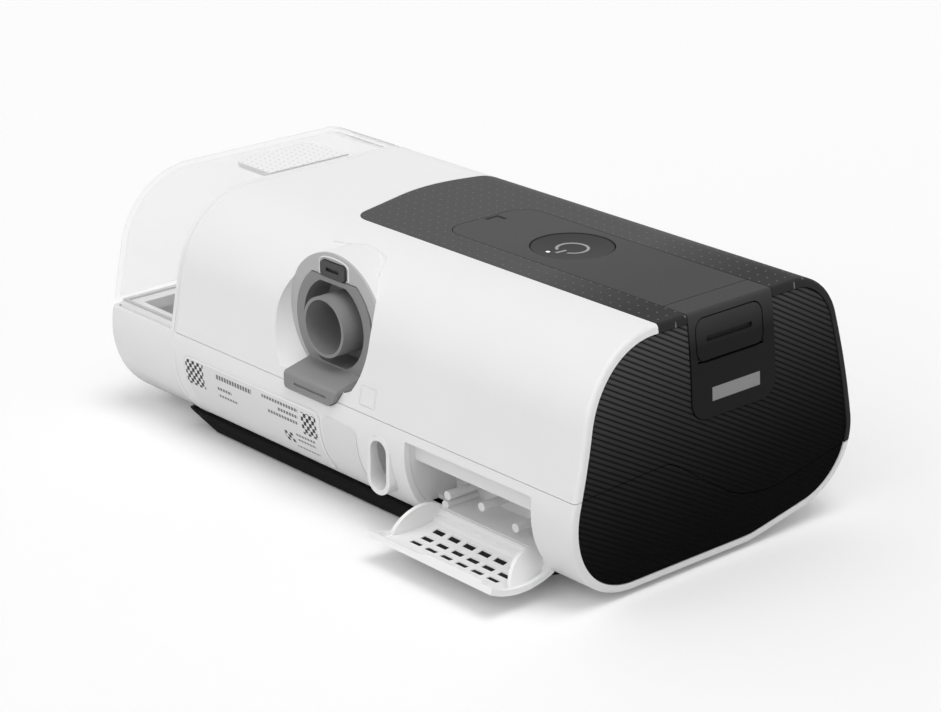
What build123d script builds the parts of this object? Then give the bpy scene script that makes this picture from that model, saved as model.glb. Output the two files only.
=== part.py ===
from build123d import *
import os
from math import cos, radians, sin, tan

# Bedside positive-pressure breathing machine with a docked water tub, in millimetres.
# +X runs along the body to the ribbed end, -Y is the side with the air outlet, +Z is up.
# The origin is on the base plane, under the middle of the body.

# ---------------------------------------------------------------- driving dimensions
body_length = 259.4
body_height = 94.5
near_half_width = 68.25
far_half_width = 68.9
belly_height = 2.1

near_lean = 11.3
far_lean = 13.0
near_bottom_radius = 33.0
near_shoulder_radius = 34.0
far_shoulder_radius = 20.0
far_bottom_radius = 26.0
underside_break_y = 22.0
underside_break_radius = 40.0
underside_rise = 12.0

housing_start_x = -88.0
end_crown_z = 49.0
end_crown_drop = 4.0
end_edge_radius = 1.5
rim_width = 3.0
shell_wall = 2.5
seam_gap = 0.3
inlay_depth = 1.5
running_gap = 0.05
seat_gap = 0.3
slip_gap = 0.1

# Cutting forms reach past the body by the spill; full rounds stay just under half the width.
spill = 10.0
round_trim = 0.01
slot_round = 0.4
boss_root = 0.5

seam_near_z = 42.5
seam_crest = (-23.1, 45.6)
seam_valley = (18.0, 18.6)
seam_far_z = 32.6
seam_crest_radius = 12.0
seam_valley_radius = 45.0
seam_fall = 8.0
seam_lift = 0.6
seam_fall_far = 1.4

panel_near_y = -27.0
panel_left_x = -41.5
panel_left_corner_x = -29.0
panel_left_crown_y = 18.0
panel_front_x = -26.0
panel_corner_radius = 9.0
panel_crown_radius = 60.0
panel_plain_radius = 1.0

strip_left_x = 4.0
strip_near_y = -13.5
strip_far_y = 27.0
strip_corner_radius = 9.0
tab_setback = 15.3
tab_drop = 37.5
tab_corner_radius = 7.0

card_low_y = -10.3
card_high_y = 21.4
card_low_drop = 17.5
card_high_drop = 2.9
card_corner_radius = 4.0
card_gap = 0.5
card_pin_radius = 0.5
card_pin_reach = 1.2
card_boss_size = 2.4
card_boss_width = 2.0
card_swing_radius = 1.2
card_grip_low_y = -5.7
card_grip_high_y = 16.5
card_grip_drop = 10.0
card_grip_height = 2.0
card_grip_depth = 0.8

end_panel_recess = 0.4
end_panel_thickness = 2.2

button_x = 49.0
button_y = 8.0
button_radius = 15.0
button_sink = 0.2
button_dish_depth = 0.7
button_flange_radius = 16.4
button_flange_thickness = 1.5
button_gap = 0.35
button_edge_radius = 0.4
button_travel = 0.8
symbol_radius = 5.6
symbol_stroke = 1.1
symbol_depth = 0.9
symbol_bar_length = 5.0
symbol_opening = 5.0
light_radius = 0.8
light_offset_x = -2.5
light_offset_y = -9.6

screen_left_x = 14.0
screen_setback = 23.7
screen_low_z = 37.0
screen_high_drop = 18.5
screen_corner_radius = 6.0
display_gap = 0.3
display_thickness = 5.0
display_margin = 5.0

boss_z = 66.4
boss_radius = 26.4
boss_face_y = -57.4
boss_wall = 2.0
pocket_floor_z = 69.0
pocket_floor_radius = 24.8
pocket_mouth_y = -66.4
pocket_mouth_x = -5.2
pocket_mouth_z = 65.5
pocket_mouth_radius = 26.4
pocket_low_z = 47.0
pocket_wall = 1.6
pocket_inner_y = -36.0
outlet_plate_thickness = 1.0
outlet_backing = 1.6

outlet_x = -3.8
outlet_z = 66.8
outlet_radius = 11.2
outlet_bore_radius = 8.8
outlet_mouth_radius = 10.0
outlet_front_y = -62.7
dish_rim_y = -58.0
dish_rim_radius = 20.8
dish_rim_thickness = 1.2
dish_bore_radius = 16.6
dish_wall = 1.8
dish_top_z = 83.6
dish_floor_y = -47.5
dish_floor_thickness = 2.0
tray_low_x = -18.4
tray_high_x = 11.0
tray_front_y = -69.6
tray_back_y = -55.0
tray_low_z = 41.3
tray_lip_z = 48.2
tray_back_z = 51.6
tray_slot_length = 18.0
tray_slot_height = 1.0
tray_slot_depth = 0.6
tray_rise = 1.6
tray_corner_radius = 2.5
tray_cut_low_x = 5.7
tray_cut_middle = (8.6, 43.4)
tray_cut_high_z = 47.4
tray_chin = 0.8
tray_edge_radius = 0.3
tray_lip_radius = 1.6
spigot_length = 6.0

clip_low_x = -10.4
clip_high_x = 3.0
clip_low_z = 84.0
clip_high_z = 89.6
clip_thickness = 2.4
clip_proud = 1.0
clip_slot_width = 7.0
clip_slot_height = 1.4
clip_corner_radius = 1.5

door_low_x = 46.5
door_high_x = 109.5
door_top_z = 39.6
door_skin = 2.2
door_hinge_z = 12.4
door_open_angle = 70.7
door_pin_radius = 0.8
door_wing_slant = 5.5
door_wing_thickness = 1.6
door_wing_radius = 11.6
door_wing_reach = 8.4
door_wing_rise = 5.9
door_plate = 1.1
door_plate_low_z = 15.0
door_lip_low_z = 36.6
door_lip_rise = 1.9
door_lip_start = 22.0
door_lip_ramp = 10.0
door_lip_end = 5.0
door_gap = 0.35
door_heel_drop = 0.8
door_pin_length = 8.0
door_boss_length = 3.0
door_boss_radius = 2.2
grille_columns = 6
grille_rows = 3
grille_pitch_x = 7.8
grille_pitch_z = 4.8
grille_slot_length = 5.2
grille_slot_height = 2.4
grille_middle_z = 22.4

chamber_wall = 1.6
chamber_back_y = -42.5
chamber_ledge_z = 32.0
chamber_ledge_depth = 5.2
chamber_floor_z = 14.6
chamber_top_z = 41.0
chamber_vent_height = 6.0
chamber_vents = 4
pin_radius = 1.6
pin_length = 16.0
pin_places = ((57.5, 20.8), (56.4, 17.0), (75.0, 22.3), (92.0, 20.2))

inlet_x = 32.5
inlet_z = 27.0
inlet_width = 12.3
inlet_height = 22.1
inlet_wall = 1.9
inlet_proud = 0.25
socket_depth = 13.0
socket_margin = 1.2
socket_wall = 2.0
contact_radius = 0.8
contact_length = 5.0
contact_pitch = 5.5
contact_count = 3

label_low_x = -81.0
label_high_x = 0.0
label_low_z = 12.0
label_high_z = 37.0
rating_low_x = 1.5
rating_high_x = 20.5
label_air = 0.05
label_thickness = 0.25
label_corner = 3.0

foot_low_x = -87.0
foot_high_x = 98.0
foot_low_y = -50.0
foot_high_y = 46.0
foot_corner = 9.0
foot_blank_height = 16.0
foot_chamfer = 0.8
pad_radius = 7.0
pad_height = 1.2
pad_inset = 14.0

tub_wall = 2.0
tub_edge_radius = 3.0
tub_inner_edge_radius = 1.0
tub_joint_gap = 0.4
tub_flange = 2.0
tub_base_top_z = 43.0
tub_lid_low_z = 46.2
tub_inner_end_x = -40.0
bay_half_width = 48.0
bay_low_z = 15.0
bay_high_drop = 10.5
bay_corner_radius = 15.0
bay_wall = 2.0
bay_end_x = -38.5
bay_clearance = 0.5
bay_floor_clearance = 0.3
bay_flange = 1.5
port_out_y = -22.0
port_in_y = 26.0
port_in_z = 33.0
port_seal_radius = 13.5

lid_pin_radius = 0.8
lid_knuckle_radius = 1.8
lid_knuckle_width = 12.0
lid_knuckle_y = 24.0
lid_lug_width = 5.0
lid_lug_swing_radius = 3.1
lid_lug_root = 4.0
lid_pin_short = 1.0

grip_end_inset = 14.2
grip_low_y = -17.0
grip_high_y = 22.0
grip_corner_radius = 6.0
grip_gap = 0.3
grip_setback = 1.5
frame_thickness = 4.0
frame_top_z = 45.2
frame_inset = 4.0
frame_rim = 7.0
frame_bar = 3.0
frame_bar_y = 17.0
seal_width = 2.0
seal_height = 0.8
seal_near_extra = 0.6
seal_far_extra = 2.0

heater_low_x = -80.0
heater_high_x = -46.0
heater_half_width = 32.0
heater_thickness = 2.0
heater_gap = 0.4
heater_spring_radius = 3.0
heater_spring_wire = 0.5
heater_spring_turns = 4
heater_spring_inset = 8.0
heater_spring_rows = (-20.0, 16.0)
tub_plate_thickness = 1.0
tub_plate_ledge = 3.0

duct_spigot_radius = 10.2
duct_spigot_wall = 1.6
duct_wall = 1.7
duct_bend_radius = 14.0
duct_gap = 0.1

blower_x = 76.0
blower_radius = 33.0
blower_wall = 2.0
blower_low_z = 16.0
blower_split_z = 33.0
blower_high_z = 50.0
blower_inlet_radius = 12.0
blower_stub_x = 35.0
blower_stub_step = 1.8
motor_can_radius = 17.0
motor_can_wall = 1.6
motor_floor_z = 34.5
motor_floor_thickness = 2.5
stator_bore = 6.0
stator_height = 8.0
air_gap = 0.6
rotor_inset = 1.0
bearing_radius = 4.0
bearing_height = 2.5
shaft_radius = 2.0
shaft_low_z = 20.0
impeller_radius = 27.0
impeller_hub_radius = 6.0
impeller_low_z = 21.0
impeller_plate = 1.6
impeller_blades = 11
blade_thickness = 1.2
blade_height = 9.0
blade_sweep = 35.0
mount_pad_radius = 4.0
mount_pads = 3

chassis_low_x = -34.0
chassis_setback = 8.7
chassis_low_y = -37.0
chassis_high_y = 45.5
chassis_z = 10.5
chassis_thickness = 2.0
chassis_boss_radius = 4.0
chassis_corner = 4.0
chassis_screw_grip = 3.0
boss_inset_low = 8.0
boss_inset_high = 14.0
boss_rows = (-28.0, 16.0)
board_low_x = 12.0
board_setback = 11.7
board_low_y = -32.0
board_high_y = 46.0
board_z = 58.0
board_thickness = 1.6
board_post_inset = 4.0
board_post_radius = 2.5
screw_radius = 1.5
screw_head_radius = 2.4
screw_head_height = 1.4
board_corner = 2.0
chip_height = 1.8
# Each chip: its distance from the board's high end and its Y, then its size.
chips = (
    ((42.0, 7.0), (16.0, 16.0)),
    ((76.0, 17.0), (16.0, 16.0)),
    ((16.0, -9.0), (10.0, 8.0)),
    ((66.0, -15.0), (10.0, 8.0)),
)

switch_board_half_length = 22.0
switch_board_half_width = 7.0
switch_board_drop = 10.5
switch_board_thickness = 1.4
switch_boss_offset = 18.9
switch_boss_radius = 2.2
switch_size = 6.0
switch_stem = 1.0

card_socket_length = 22.0
card_socket_low_y = -7.0
card_socket_high_y = 18.0
card_socket_drop = 14.0
card_socket_height = 7.5
card_socket_wall = 1.5
card_socket_setback = 3.0
card_socket_boss_setback = 21.7
foam_low_x = 52.0
foam_high_x = 104.0
foam_thickness = 13.0
foam_gap = 0.5
foam_high_z = 40.0
sensor_x = 19.0
sensor_length = 14.0
sensor_width = 10.0
sensor_height = 9.0

# ---------------------------------------------------------------- derived places
body_end_x = body_length / 2
tub_end_x = -body_length / 2
tab_seam_x = body_end_x - tab_setback
screen_right_x = body_end_x - screen_setback
chassis_high_x = body_end_x - chassis_setback
board_high_x = body_end_x - board_setback
card_socket_boss_x = body_end_x - card_socket_boss_setback
grip_low_x = tub_end_x + grip_end_inset
tab_bottom_z = body_height - tab_drop
card_low_z = body_height - card_low_drop
card_high_z = body_height - card_high_drop
card_grip_z = body_height - card_grip_drop
card_socket_low_z = body_height - card_socket_drop
screen_high_z = body_height - screen_high_drop
switch_board_z = body_height - switch_board_drop
bay_high_z = body_height - bay_high_drop
end_radius = ((body_height - end_crown_z) ** 2 + end_crown_drop ** 2) / (2 * end_crown_drop)
reach = body_length
inner_top_z = body_height - shell_wall
inner_floor_z = belly_height + shell_wall
tub_joint_x = housing_start_x - tub_joint_gap
tub_chamber_x = tub_joint_x - tub_flange
lid_inner_x = tub_chamber_x - tub_joint_gap
bay_back_x = bay_end_x + bay_wall
lid_axis_x = tub_end_x + lid_knuckle_radius
lid_axis_z = tub_lid_low_z - seat_gap + slip_gap
heater_top_z = bay_low_z + bay_floor_clearance - seat_gap
duct_bore_radius = duct_spigot_radius + duct_gap
duct_radius = duct_bore_radius + duct_wall
blower_y = port_in_y - (blower_radius - duct_spigot_radius - blower_wall - blower_stub_step)
chassis_top_z = chassis_z + chassis_thickness
board_top_z = board_z + board_thickness


def side_line(side, centre_y, centre_z, radius, lean):
    """Height -> Y on the leaning side wall that touches a corner circle."""
    across, up = side * cos(radians(lean)), sin(radians(lean))
    reach_of_line = across * centre_y + up * centre_z + radius
    return lambda z: (reach_of_line - up * z) / across


# Cross-section of the body: a rounded polygon with leaning sides, whose belly rises to the front.
near_centre_y = near_bottom_radius - near_half_width
near_centre_z = belly_height + near_bottom_radius
rise_slope = tan(radians(underside_rise))
far_centre_y = far_half_width - far_bottom_radius
far_belly_z = belly_height + rise_slope * (far_centre_y - underside_break_y)
far_centre_z = far_belly_z + far_bottom_radius / cos(radians(underside_rise))
near_wall_y = side_line(-1, near_centre_y, near_centre_z, near_bottom_radius, near_lean)
far_wall_y = side_line(1, far_centre_y, far_centre_z, far_bottom_radius, far_lean)
far_lean_slope = tan(radians(far_lean))
far_foot_y = (far_wall_y(0) - far_lean_slope * (belly_height - rise_slope * underside_break_y)) / (
    1 + far_lean_slope * rise_slope
)
far_foot_z = belly_height + rise_slope * (far_foot_y - underside_break_y)
section_corners = (
    (near_wall_y(belly_height), belly_height),
    (near_wall_y(body_height), body_height),
    (far_wall_y(body_height), body_height),
    (far_foot_y, far_foot_z),
    (underside_break_y, belly_height),
)
section_radii = (
    near_bottom_radius,
    near_shoulder_radius,
    far_shoulder_radius,
    far_bottom_radius,
    underside_break_radius,
)


def rounded_profile(corners, radii, grow=0.0):
    """Flat face with filleted corners, grown outward by a distance."""
    with BuildSketch() as profile:
        with BuildLine():
            FilletPolyline(*corners, radius=radii, close=True)
        make_face()
        if grow:
            offset(amount=grow)
    return profile.sketch


def body_section(inset=0.0):
    return rounded_profile(section_corners, section_radii, -inset)


def window(low_x, high_x, low_y, high_y, corner=0.0, grow=0.0):
    """Rectangle between two corners, with rounded corners, grown outward by a distance."""
    width, height = high_x - low_x + 2 * grow, high_y - low_y + 2 * grow
    with BuildSketch() as profile:
        with Locations(((low_x + high_x) / 2, (low_y + high_y) / 2)):
            if corner:
                RectangleRounded(width, height, corner + grow)
            else:
                Rectangle(width, height)
    return profile.sketch


def prism(profile, plane, start, end):
    """Solid of a flat profile between two distances along its plane's normal."""
    with BuildPart() as solid:
        with BuildSketch(plane.offset(start)):
            add(profile)
        extrude(amount=end - start)
    return solid.part


def block(low_x, high_x, low_y, high_y, low_z, high_z):
    """Box between two corners."""
    with BuildPart() as solid:
        with Locations(((low_x + high_x) / 2, (low_y + high_y) / 2, (low_z + high_z) / 2)):
            Box(high_x - low_x, high_y - low_y, high_z - low_z)
    return solid.part


def body_solid(inset=0.0, edge=0.0, start_x=housing_start_x):
    """Body from a station to the crowned end, shrunk by a distance all round."""
    with BuildPart() as solid:
        with BuildSketch(Plane.YZ.offset(start_x)):
            add(body_section(inset))
        extrude(amount=body_end_x + end_crown_drop - start_x)
        with Locations((body_end_x - end_radius, 0, end_crown_z)):
            Cylinder(end_radius - inset, reach, rotation=(90, 0, 180), mode=Mode.INTERSECT)
        if edge:
            fillet(solid.faces().sort_by(Axis.X)[-1].edges(), radius=edge)
    return solid.part


def tub_solid(inset=0.0, edge=0.0, end_x=tub_joint_x):
    """Outer form of the tub from its flat end to a station, shrunk by a distance all round."""
    with BuildPart() as solid:
        with BuildSketch(Plane.YZ.offset(tub_end_x + inset)):
            add(body_section(inset))
        extrude(amount=end_x - tub_end_x - inset)
        if edge:
            fillet(solid.faces().sort_by(Axis.X)[0].edges(), radius=edge)
    return solid.part


def below_seam(rise=0.0):
    """Everything under the parting line, which dips from the near side to the front."""
    with BuildSketch() as profile:
        with BuildLine():
            wave = FilletPolyline(
                (-reach, seam_near_z - seam_fall + rise),
                (-near_half_width, seam_near_z + seam_lift + rise),
                (seam_crest[0], seam_crest[1] + rise),
                (seam_valley[0], seam_valley[1] + rise),
                (far_half_width + spill, seam_far_z - seam_fall_far + rise),
                (reach, seam_far_z + rise),
                radius=(panel_plain_radius, seam_crest_radius, seam_valley_radius, panel_plain_radius),
            )
            Polyline(wave @ 0, (-reach, -reach), (reach, -reach), wave @ 1)
        make_face()
    return prism(profile.sketch, Plane.YZ, -reach, reach)


def publish(builder, name):
    """Label a finished piece and write its STEP file."""
    builder.part.label = name
    export_step(builder.part, f"parts/{name}.step")


os.makedirs("parts", exist_ok=True)

# ---------------------------------------------------------------- shared forms
outer_form = body_solid(edge=end_edge_radius)
inner_void = body_solid(inset=shell_wall)
under_inlay = body_solid(inset=inlay_depth)
lower_zone = below_seam()
lower_zone_raised = below_seam(seam_gap)
end_opening_x = body_end_x - end_crown_drop - end_panel_recess - end_panel_thickness - shell_wall
end_opening = prism(body_section(rim_width), Plane.YZ, end_opening_x, body_end_x + rim_width)


def dark_zone_profile(grow=0.0):
    """Plan of the dark panel: straight near edge, bowed left end, open to the front and the ribbed end."""
    corners = (
        (panel_left_corner_x, panel_near_y),
        (panel_left_x, panel_left_crown_y),
        (panel_front_x, far_half_width + spill),
        (body_end_x + spill, far_half_width + spill),
        (body_end_x + spill, panel_near_y),
    )
    radii = (panel_corner_radius, panel_crown_radius) + (panel_plain_radius,) * 3
    return rounded_profile(corners, radii, grow)


dark_zone = prism(dark_zone_profile(), Plane.XY, belly_height, body_height + shell_wall)
dark_zone_cut = prism(dark_zone_profile(seam_gap), Plane.XY, belly_height, body_height + shell_wall)


def strip_zone(grow=0.0):
    """Plan of the smooth strip, round at its left end and square at the tab seam."""
    with BuildSketch() as profile:
        add(window(strip_left_x, reach, strip_near_y, strip_far_y, strip_corner_radius, grow))
        add(window(tab_seam_x, 2 * reach, -reach, reach), mode=Mode.SUBTRACT)
    return prism(profile.sketch, Plane.XY, tab_bottom_z, body_height + shell_wall)


def tab_zone(grow=0.0):
    """The strip's end tab: over the ridge and down the ribbed end, with round lower corners."""
    profile = window(strip_near_y, strip_far_y, tab_bottom_z, body_height + spill, tab_corner_radius, grow)
    return prism(profile, Plane.YZ, tab_seam_x - grow + seam_gap, body_end_x + spill)


def card_zone(grow=0.0):
    profile = window(card_low_y, card_high_y, card_low_z, card_high_z, card_corner_radius, grow)
    return prism(profile, Plane.YZ, body_end_x - spill, body_end_x + spill)


def end_face_x(z):
    """Station of the crowned end at a height."""
    return body_end_x - end_radius + (end_radius ** 2 - (z - end_crown_z) ** 2) ** 0.5


def screen_zone(grow=0.0):
    profile = window(screen_left_x, screen_right_x, screen_low_z, screen_high_z, screen_corner_radius, grow)
    return prism(profile, Plane.XZ, -reach / 2, -shell_wall)


# ---------------------------------------------------------------- outlet pocket forms
outlet_middle = (outlet_x, outlet_z)


def along_y(profile, front_y, back_y):
    """Solid of a profile drawn on the near side, between two Y stations."""
    return prism(profile, Plane.XZ, -back_y, -front_y)


def disc(radius, middle):
    with BuildSketch() as profile:
        with Locations(middle):
            Circle(radius)
    return profile.sketch


def dish_outline(radius, top_z):
    """Round outline with a level top, under the clip."""
    with BuildSketch() as profile:
        add(disc(radius, outlet_middle))
        add(window(-reach, reach, top_z, reach), mode=Mode.SUBTRACT)
    return profile.sketch


def pocket_cone(grow=0.0):
    """Flared pocket, round at the floor and wider at the mouth, level at the bottom."""
    with BuildPart() as cone:
        for y, middle, radius in (
            (boss_face_y, (outlet_x, pocket_floor_z), pocket_floor_radius),
            (pocket_mouth_y, (pocket_mouth_x, pocket_mouth_z), pocket_mouth_radius),
        ):
            with BuildSketch(Plane.XZ.offset(-y)):
                add(disc(radius + grow, middle))
        loft()
        add(block(-reach, reach, -reach, reach, -reach, pocket_low_z - grow), mode=Mode.SUBTRACT)
    return cone.part


def plate_outline(grow=0.0):
    """Face of the boss: the pocket's floor, within the boss and above the tray."""
    with BuildSketch() as profile:
        add(disc(pocket_floor_radius + grow, (outlet_x, pocket_floor_z)))
        add(disc(boss_radius + grow, (outlet_x, boss_z)), mode=Mode.INTERSECT)
        add(window(-reach, reach, -reach, pocket_low_z - grow), mode=Mode.SUBTRACT)
    return profile.sketch


def clip_profile(grow=0.0):
    return window(clip_low_x, clip_high_x, clip_low_z, clip_high_z, clip_corner_radius, grow)


def tray_outline(grow=0.0):
    """Front view of the tray: round at one lower corner, cut back in two steps at the other."""
    corners = (
        (tray_low_x, tray_low_z),
        (tray_cut_low_x, tray_low_z),
        tray_cut_middle,
        (tray_high_x, tray_cut_high_z),
        (tray_high_x, tray_back_z),
        (tray_low_x, tray_back_z),
    )
    radii = (tray_corner_radius,) + (tray_lip_radius,) * 2 + (tray_edge_radius,) * 3
    return rounded_profile(corners, radii, grow)


outside_y = -near_half_width - spill
plate_back_y = boss_face_y + outlet_plate_thickness
backing_back_y = plate_back_y + outlet_backing
boss_form = along_y(disc(boss_radius, (outlet_x, boss_z)), plate_back_y, pocket_inner_y)
boss_hollow = along_y(disc(boss_radius - boss_wall, (outlet_x, boss_z)), backing_back_y, pocket_inner_y)
dish_hole = along_y(dish_outline(dish_rim_radius + seat_gap, dish_top_z + seat_gap), outside_y, plate_back_y)
dish_hole_radius = dish_bore_radius + dish_wall + seat_gap
dish_body_hole = along_y(disc(dish_hole_radius, outlet_middle), outside_y, pocket_inner_y)
clip_hole = along_y(clip_profile(seat_gap), outside_y, pocket_inner_y)
tray_room = block(-reach, reach, -reach, reach, -reach, tray_back_z)
tray_notch = along_y(tray_outline(seat_gap), outside_y, tray_back_y + seat_gap)

# ---------------------------------------------------------------- housings
with BuildPart() as upper_housing:
    add(outer_form)
    add(inner_void, mode=Mode.SUBTRACT)
    add(lower_zone_raised, mode=Mode.SUBTRACT)
    add(dark_zone_cut, mode=Mode.SUBTRACT)
    add(end_opening, mode=Mode.SUBTRACT)
    add(boss_form - lower_zone_raised)
    add((pocket_cone(pocket_wall) & outer_form) - lower_zone_raised)
    add(boss_hollow - pocket_cone(pocket_wall), mode=Mode.SUBTRACT)
    add(pocket_cone(), mode=Mode.SUBTRACT)
    add(along_y(plate_outline(), outside_y, plate_back_y), mode=Mode.SUBTRACT)
    add(dish_hole, mode=Mode.SUBTRACT)
    add(dish_body_hole, mode=Mode.SUBTRACT)
    add(clip_hole, mode=Mode.SUBTRACT)
    add(tray_notch, mode=Mode.SUBTRACT)
publish(upper_housing, "upper_housing")

# Filter door hinge: an axis along X, one skin thickness inside the near bottom corner.
hinge_drop = near_centre_z - door_hinge_z
door_hinge_y = near_centre_y - ((near_bottom_radius - door_skin) ** 2 - hinge_drop ** 2) ** 0.5
hinge_sweep = prism(
    window(
        door_hinge_y - door_skin,
        door_hinge_y + door_skin,
        door_hinge_z - door_skin,
        door_hinge_z + door_skin,
        door_skin - round_trim,
        door_gap,
    ),
    Plane.YZ,
    door_low_x - door_gap,
    door_high_x + door_gap,
)
door_opening = block(
    door_low_x - door_gap,
    door_high_x + door_gap,
    outside_y,
    door_hinge_y + door_skin,
    door_hinge_z - door_heel_drop,
    door_top_z + door_gap,
)
door_pin_start = door_low_x - door_gap - door_boss_length
door_pin_end = door_high_x + door_gap + door_boss_length


def hinge_bar(radius, start, end):
    """Round bar along X on the filter door's hinge axis."""
    with BuildSketch() as profile:
        with Locations((door_hinge_y, door_hinge_z)):
            Circle(radius)
    return prism(profile.sketch, Plane.YZ, start, end)


door_pin_hole = hinge_bar(door_pin_radius, door_pin_start, door_pin_end)
inlet_outline_low = inlet_z - inlet_height / 2
inlet_hole = prism(
    window(
        inlet_x - inlet_width / 2,
        inlet_x + inlet_width / 2,
        inlet_outline_low,
        inlet_outline_low + inlet_height,
        inlet_width / 2 - round_trim,
    ),
    Plane.XZ,
    -chamber_back_y,
    -outside_y,
)
foot_plan_x = (foot_low_x + pad_inset, foot_high_x - pad_inset)
foot_plan_y = (foot_low_y + pad_inset, foot_high_y - pad_inset)
boss_columns = (chassis_low_x + boss_inset_low, chassis_high_x - boss_inset_high)
boss_places = [(x, y) for x in boss_columns for y in boss_rows]

with BuildPart() as lower_housing:
    add(outer_form)
    add(inner_void, mode=Mode.SUBTRACT)
    add(lower_zone, mode=Mode.INTERSECT)
    add(end_opening, mode=Mode.SUBTRACT)
    add(door_opening, mode=Mode.SUBTRACT)
    add(hinge_sweep, mode=Mode.SUBTRACT)
    add(inlet_hole, mode=Mode.SUBTRACT)
    add(tray_notch, mode=Mode.SUBTRACT)
    with BuildSketch(Plane.XY.offset(inner_floor_z - boss_root)):
        with Locations(*boss_places):
            Circle(chassis_boss_radius)
            Circle(screw_radius, mode=Mode.SUBTRACT)
    extrude(amount=chassis_z - inner_floor_z + boss_root)
    for start in (door_pin_start, door_pin_end - door_boss_length):
        add(hinge_bar(door_boss_radius, start, start + door_boss_length) & outer_form)
    add(door_pin_hole, mode=Mode.SUBTRACT)
publish(lower_housing, "lower_housing")

# ---------------------------------------------------------------- dark panels and strip
with BuildPart() as strip_pocket:
    add(strip_zone(seam_gap))
    add(outer_form, mode=Mode.INTERSECT)
    add(under_inlay, mode=Mode.SUBTRACT)

with BuildPart() as tab_pocket:
    add(tab_zone(seam_gap))
    add(under_inlay, mode=Mode.SUBTRACT)

with BuildPart() as screen_pocket:
    add(screen_zone(seam_gap))
    add(under_inlay, mode=Mode.SUBTRACT)

button_hole = prism(
    window(
        button_x - button_radius,
        button_x + button_radius,
        button_y - button_radius,
        button_y + button_radius,
        button_radius - round_trim,
        button_gap,
    ),
    Plane.XY,
    inner_top_z - spill,
    body_height + spill,
)

with BuildPart() as top_panel:
    add(outer_form)
    add(inner_void, mode=Mode.SUBTRACT)
    add(dark_zone, mode=Mode.INTERSECT)
    add(lower_zone_raised, mode=Mode.SUBTRACT)
    add(end_opening, mode=Mode.SUBTRACT)
    add(strip_pocket.part, mode=Mode.SUBTRACT)
    add(tab_pocket.part, mode=Mode.SUBTRACT)
    add(screen_pocket.part, mode=Mode.SUBTRACT)
    add(button_hole, mode=Mode.SUBTRACT)
    with BuildSketch(Plane.XY.offset(switch_board_z + switch_board_thickness)):
        with Locations((button_x - switch_boss_offset, button_y), (button_x + switch_boss_offset, button_y)):
            Circle(switch_boss_radius)
    extrude(amount=inner_top_z + boss_root - switch_board_z - switch_board_thickness)
    with BuildSketch(Plane.XY.offset(card_socket_low_z + card_socket_height)):
        with Locations(*[(card_socket_boss_x, y) for y in (card_socket_low_y, card_socket_high_y)]):
            Circle(switch_boss_radius)
    extrude(amount=inner_top_z + boss_root - card_socket_low_z - card_socket_height)
publish(top_panel, "top_panel")

with BuildPart() as control_strip:
    add(strip_zone())
    add(outer_form, mode=Mode.INTERSECT)
    add(under_inlay, mode=Mode.SUBTRACT)
    add(button_hole, mode=Mode.SUBTRACT)
publish(control_strip, "control_strip")

# The card cover turns about its lower edge, which is rounded about the pins.
card_axis_z = card_low_z + inlay_depth / 2
card_axis_x = end_face_x(card_axis_z) - inlay_depth / 2
card_middle_y = (card_low_y + card_high_y) / 2
card_width = card_high_y - card_low_y
card_grip_length = card_grip_high_y - card_grip_low_y
card_hole_length = card_width + 2 * (card_pin_reach + seat_gap)


def card_bar(radius, width):
    """Round bar along Y on the card cover's axis."""
    with BuildPart() as bar:
        with Locations((card_axis_x, card_middle_y, card_axis_z)):
            Cylinder(radius, width, rotation=(90, 0, 0))
    return bar.part


with BuildPart() as card_edge:
    add(card_bar(inlay_depth / 2, card_width))
    add(card_zone(), mode=Mode.INTERSECT)

with BuildPart() as end_tab:
    add(tab_zone())
    add(outer_form, mode=Mode.INTERSECT)
    add(under_inlay, mode=Mode.SUBTRACT)
    with Locations((card_axis_x - card_boss_size / 2, card_middle_y, card_axis_z)):
        Box(card_boss_size, card_width + 2 * (card_gap + card_boss_width), card_boss_size)
        Box(card_boss_size, card_width + 2 * card_gap, card_boss_size, mode=Mode.SUBTRACT)
    add(card_zone(card_gap), mode=Mode.SUBTRACT)
    add(card_bar(card_pin_radius + running_gap, card_hole_length), mode=Mode.SUBTRACT)
    add(card_bar(card_swing_radius, card_width), mode=Mode.SUBTRACT)
publish(end_tab, "end_tab")

with BuildPart() as card_cover:
    add(card_zone())
    add(outer_form, mode=Mode.INTERSECT)
    add(under_inlay, mode=Mode.SUBTRACT)
    add(block(card_axis_x - reach, reach, -reach, reach, 0, card_axis_z), mode=Mode.SUBTRACT)
    add(card_edge.part)
    add(card_bar(card_pin_radius, card_width + 2 * card_pin_reach))
    with BuildSketch(Plane.YZ.offset(end_face_x(card_grip_z) - card_grip_depth)):
        with Locations(((card_grip_low_y + card_grip_high_y) / 2, card_grip_z)):
            RectangleRounded(card_grip_length, card_grip_height, card_grip_height * slot_round)
    extrude(amount=spill, mode=Mode.SUBTRACT)
publish(card_cover, "card_cover")

with BuildPart() as display_glass:
    add(screen_zone())
    add(outer_form, mode=Mode.INTERSECT)
    add(under_inlay, mode=Mode.SUBTRACT)
publish(display_glass, "display_glass")

with BuildPart() as display_module:
    add(
        prism(
            window(screen_left_x, screen_right_x, screen_low_z, screen_high_z, 0, -display_margin),
            Plane.XZ,
            -reach / 2,
            -shell_wall,
        )
    )
    add(body_solid(inset=shell_wall + display_gap), mode=Mode.INTERSECT)
    add(body_solid(inset=shell_wall + display_gap + display_thickness), mode=Mode.SUBTRACT)
publish(display_module, "display_module")

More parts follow.
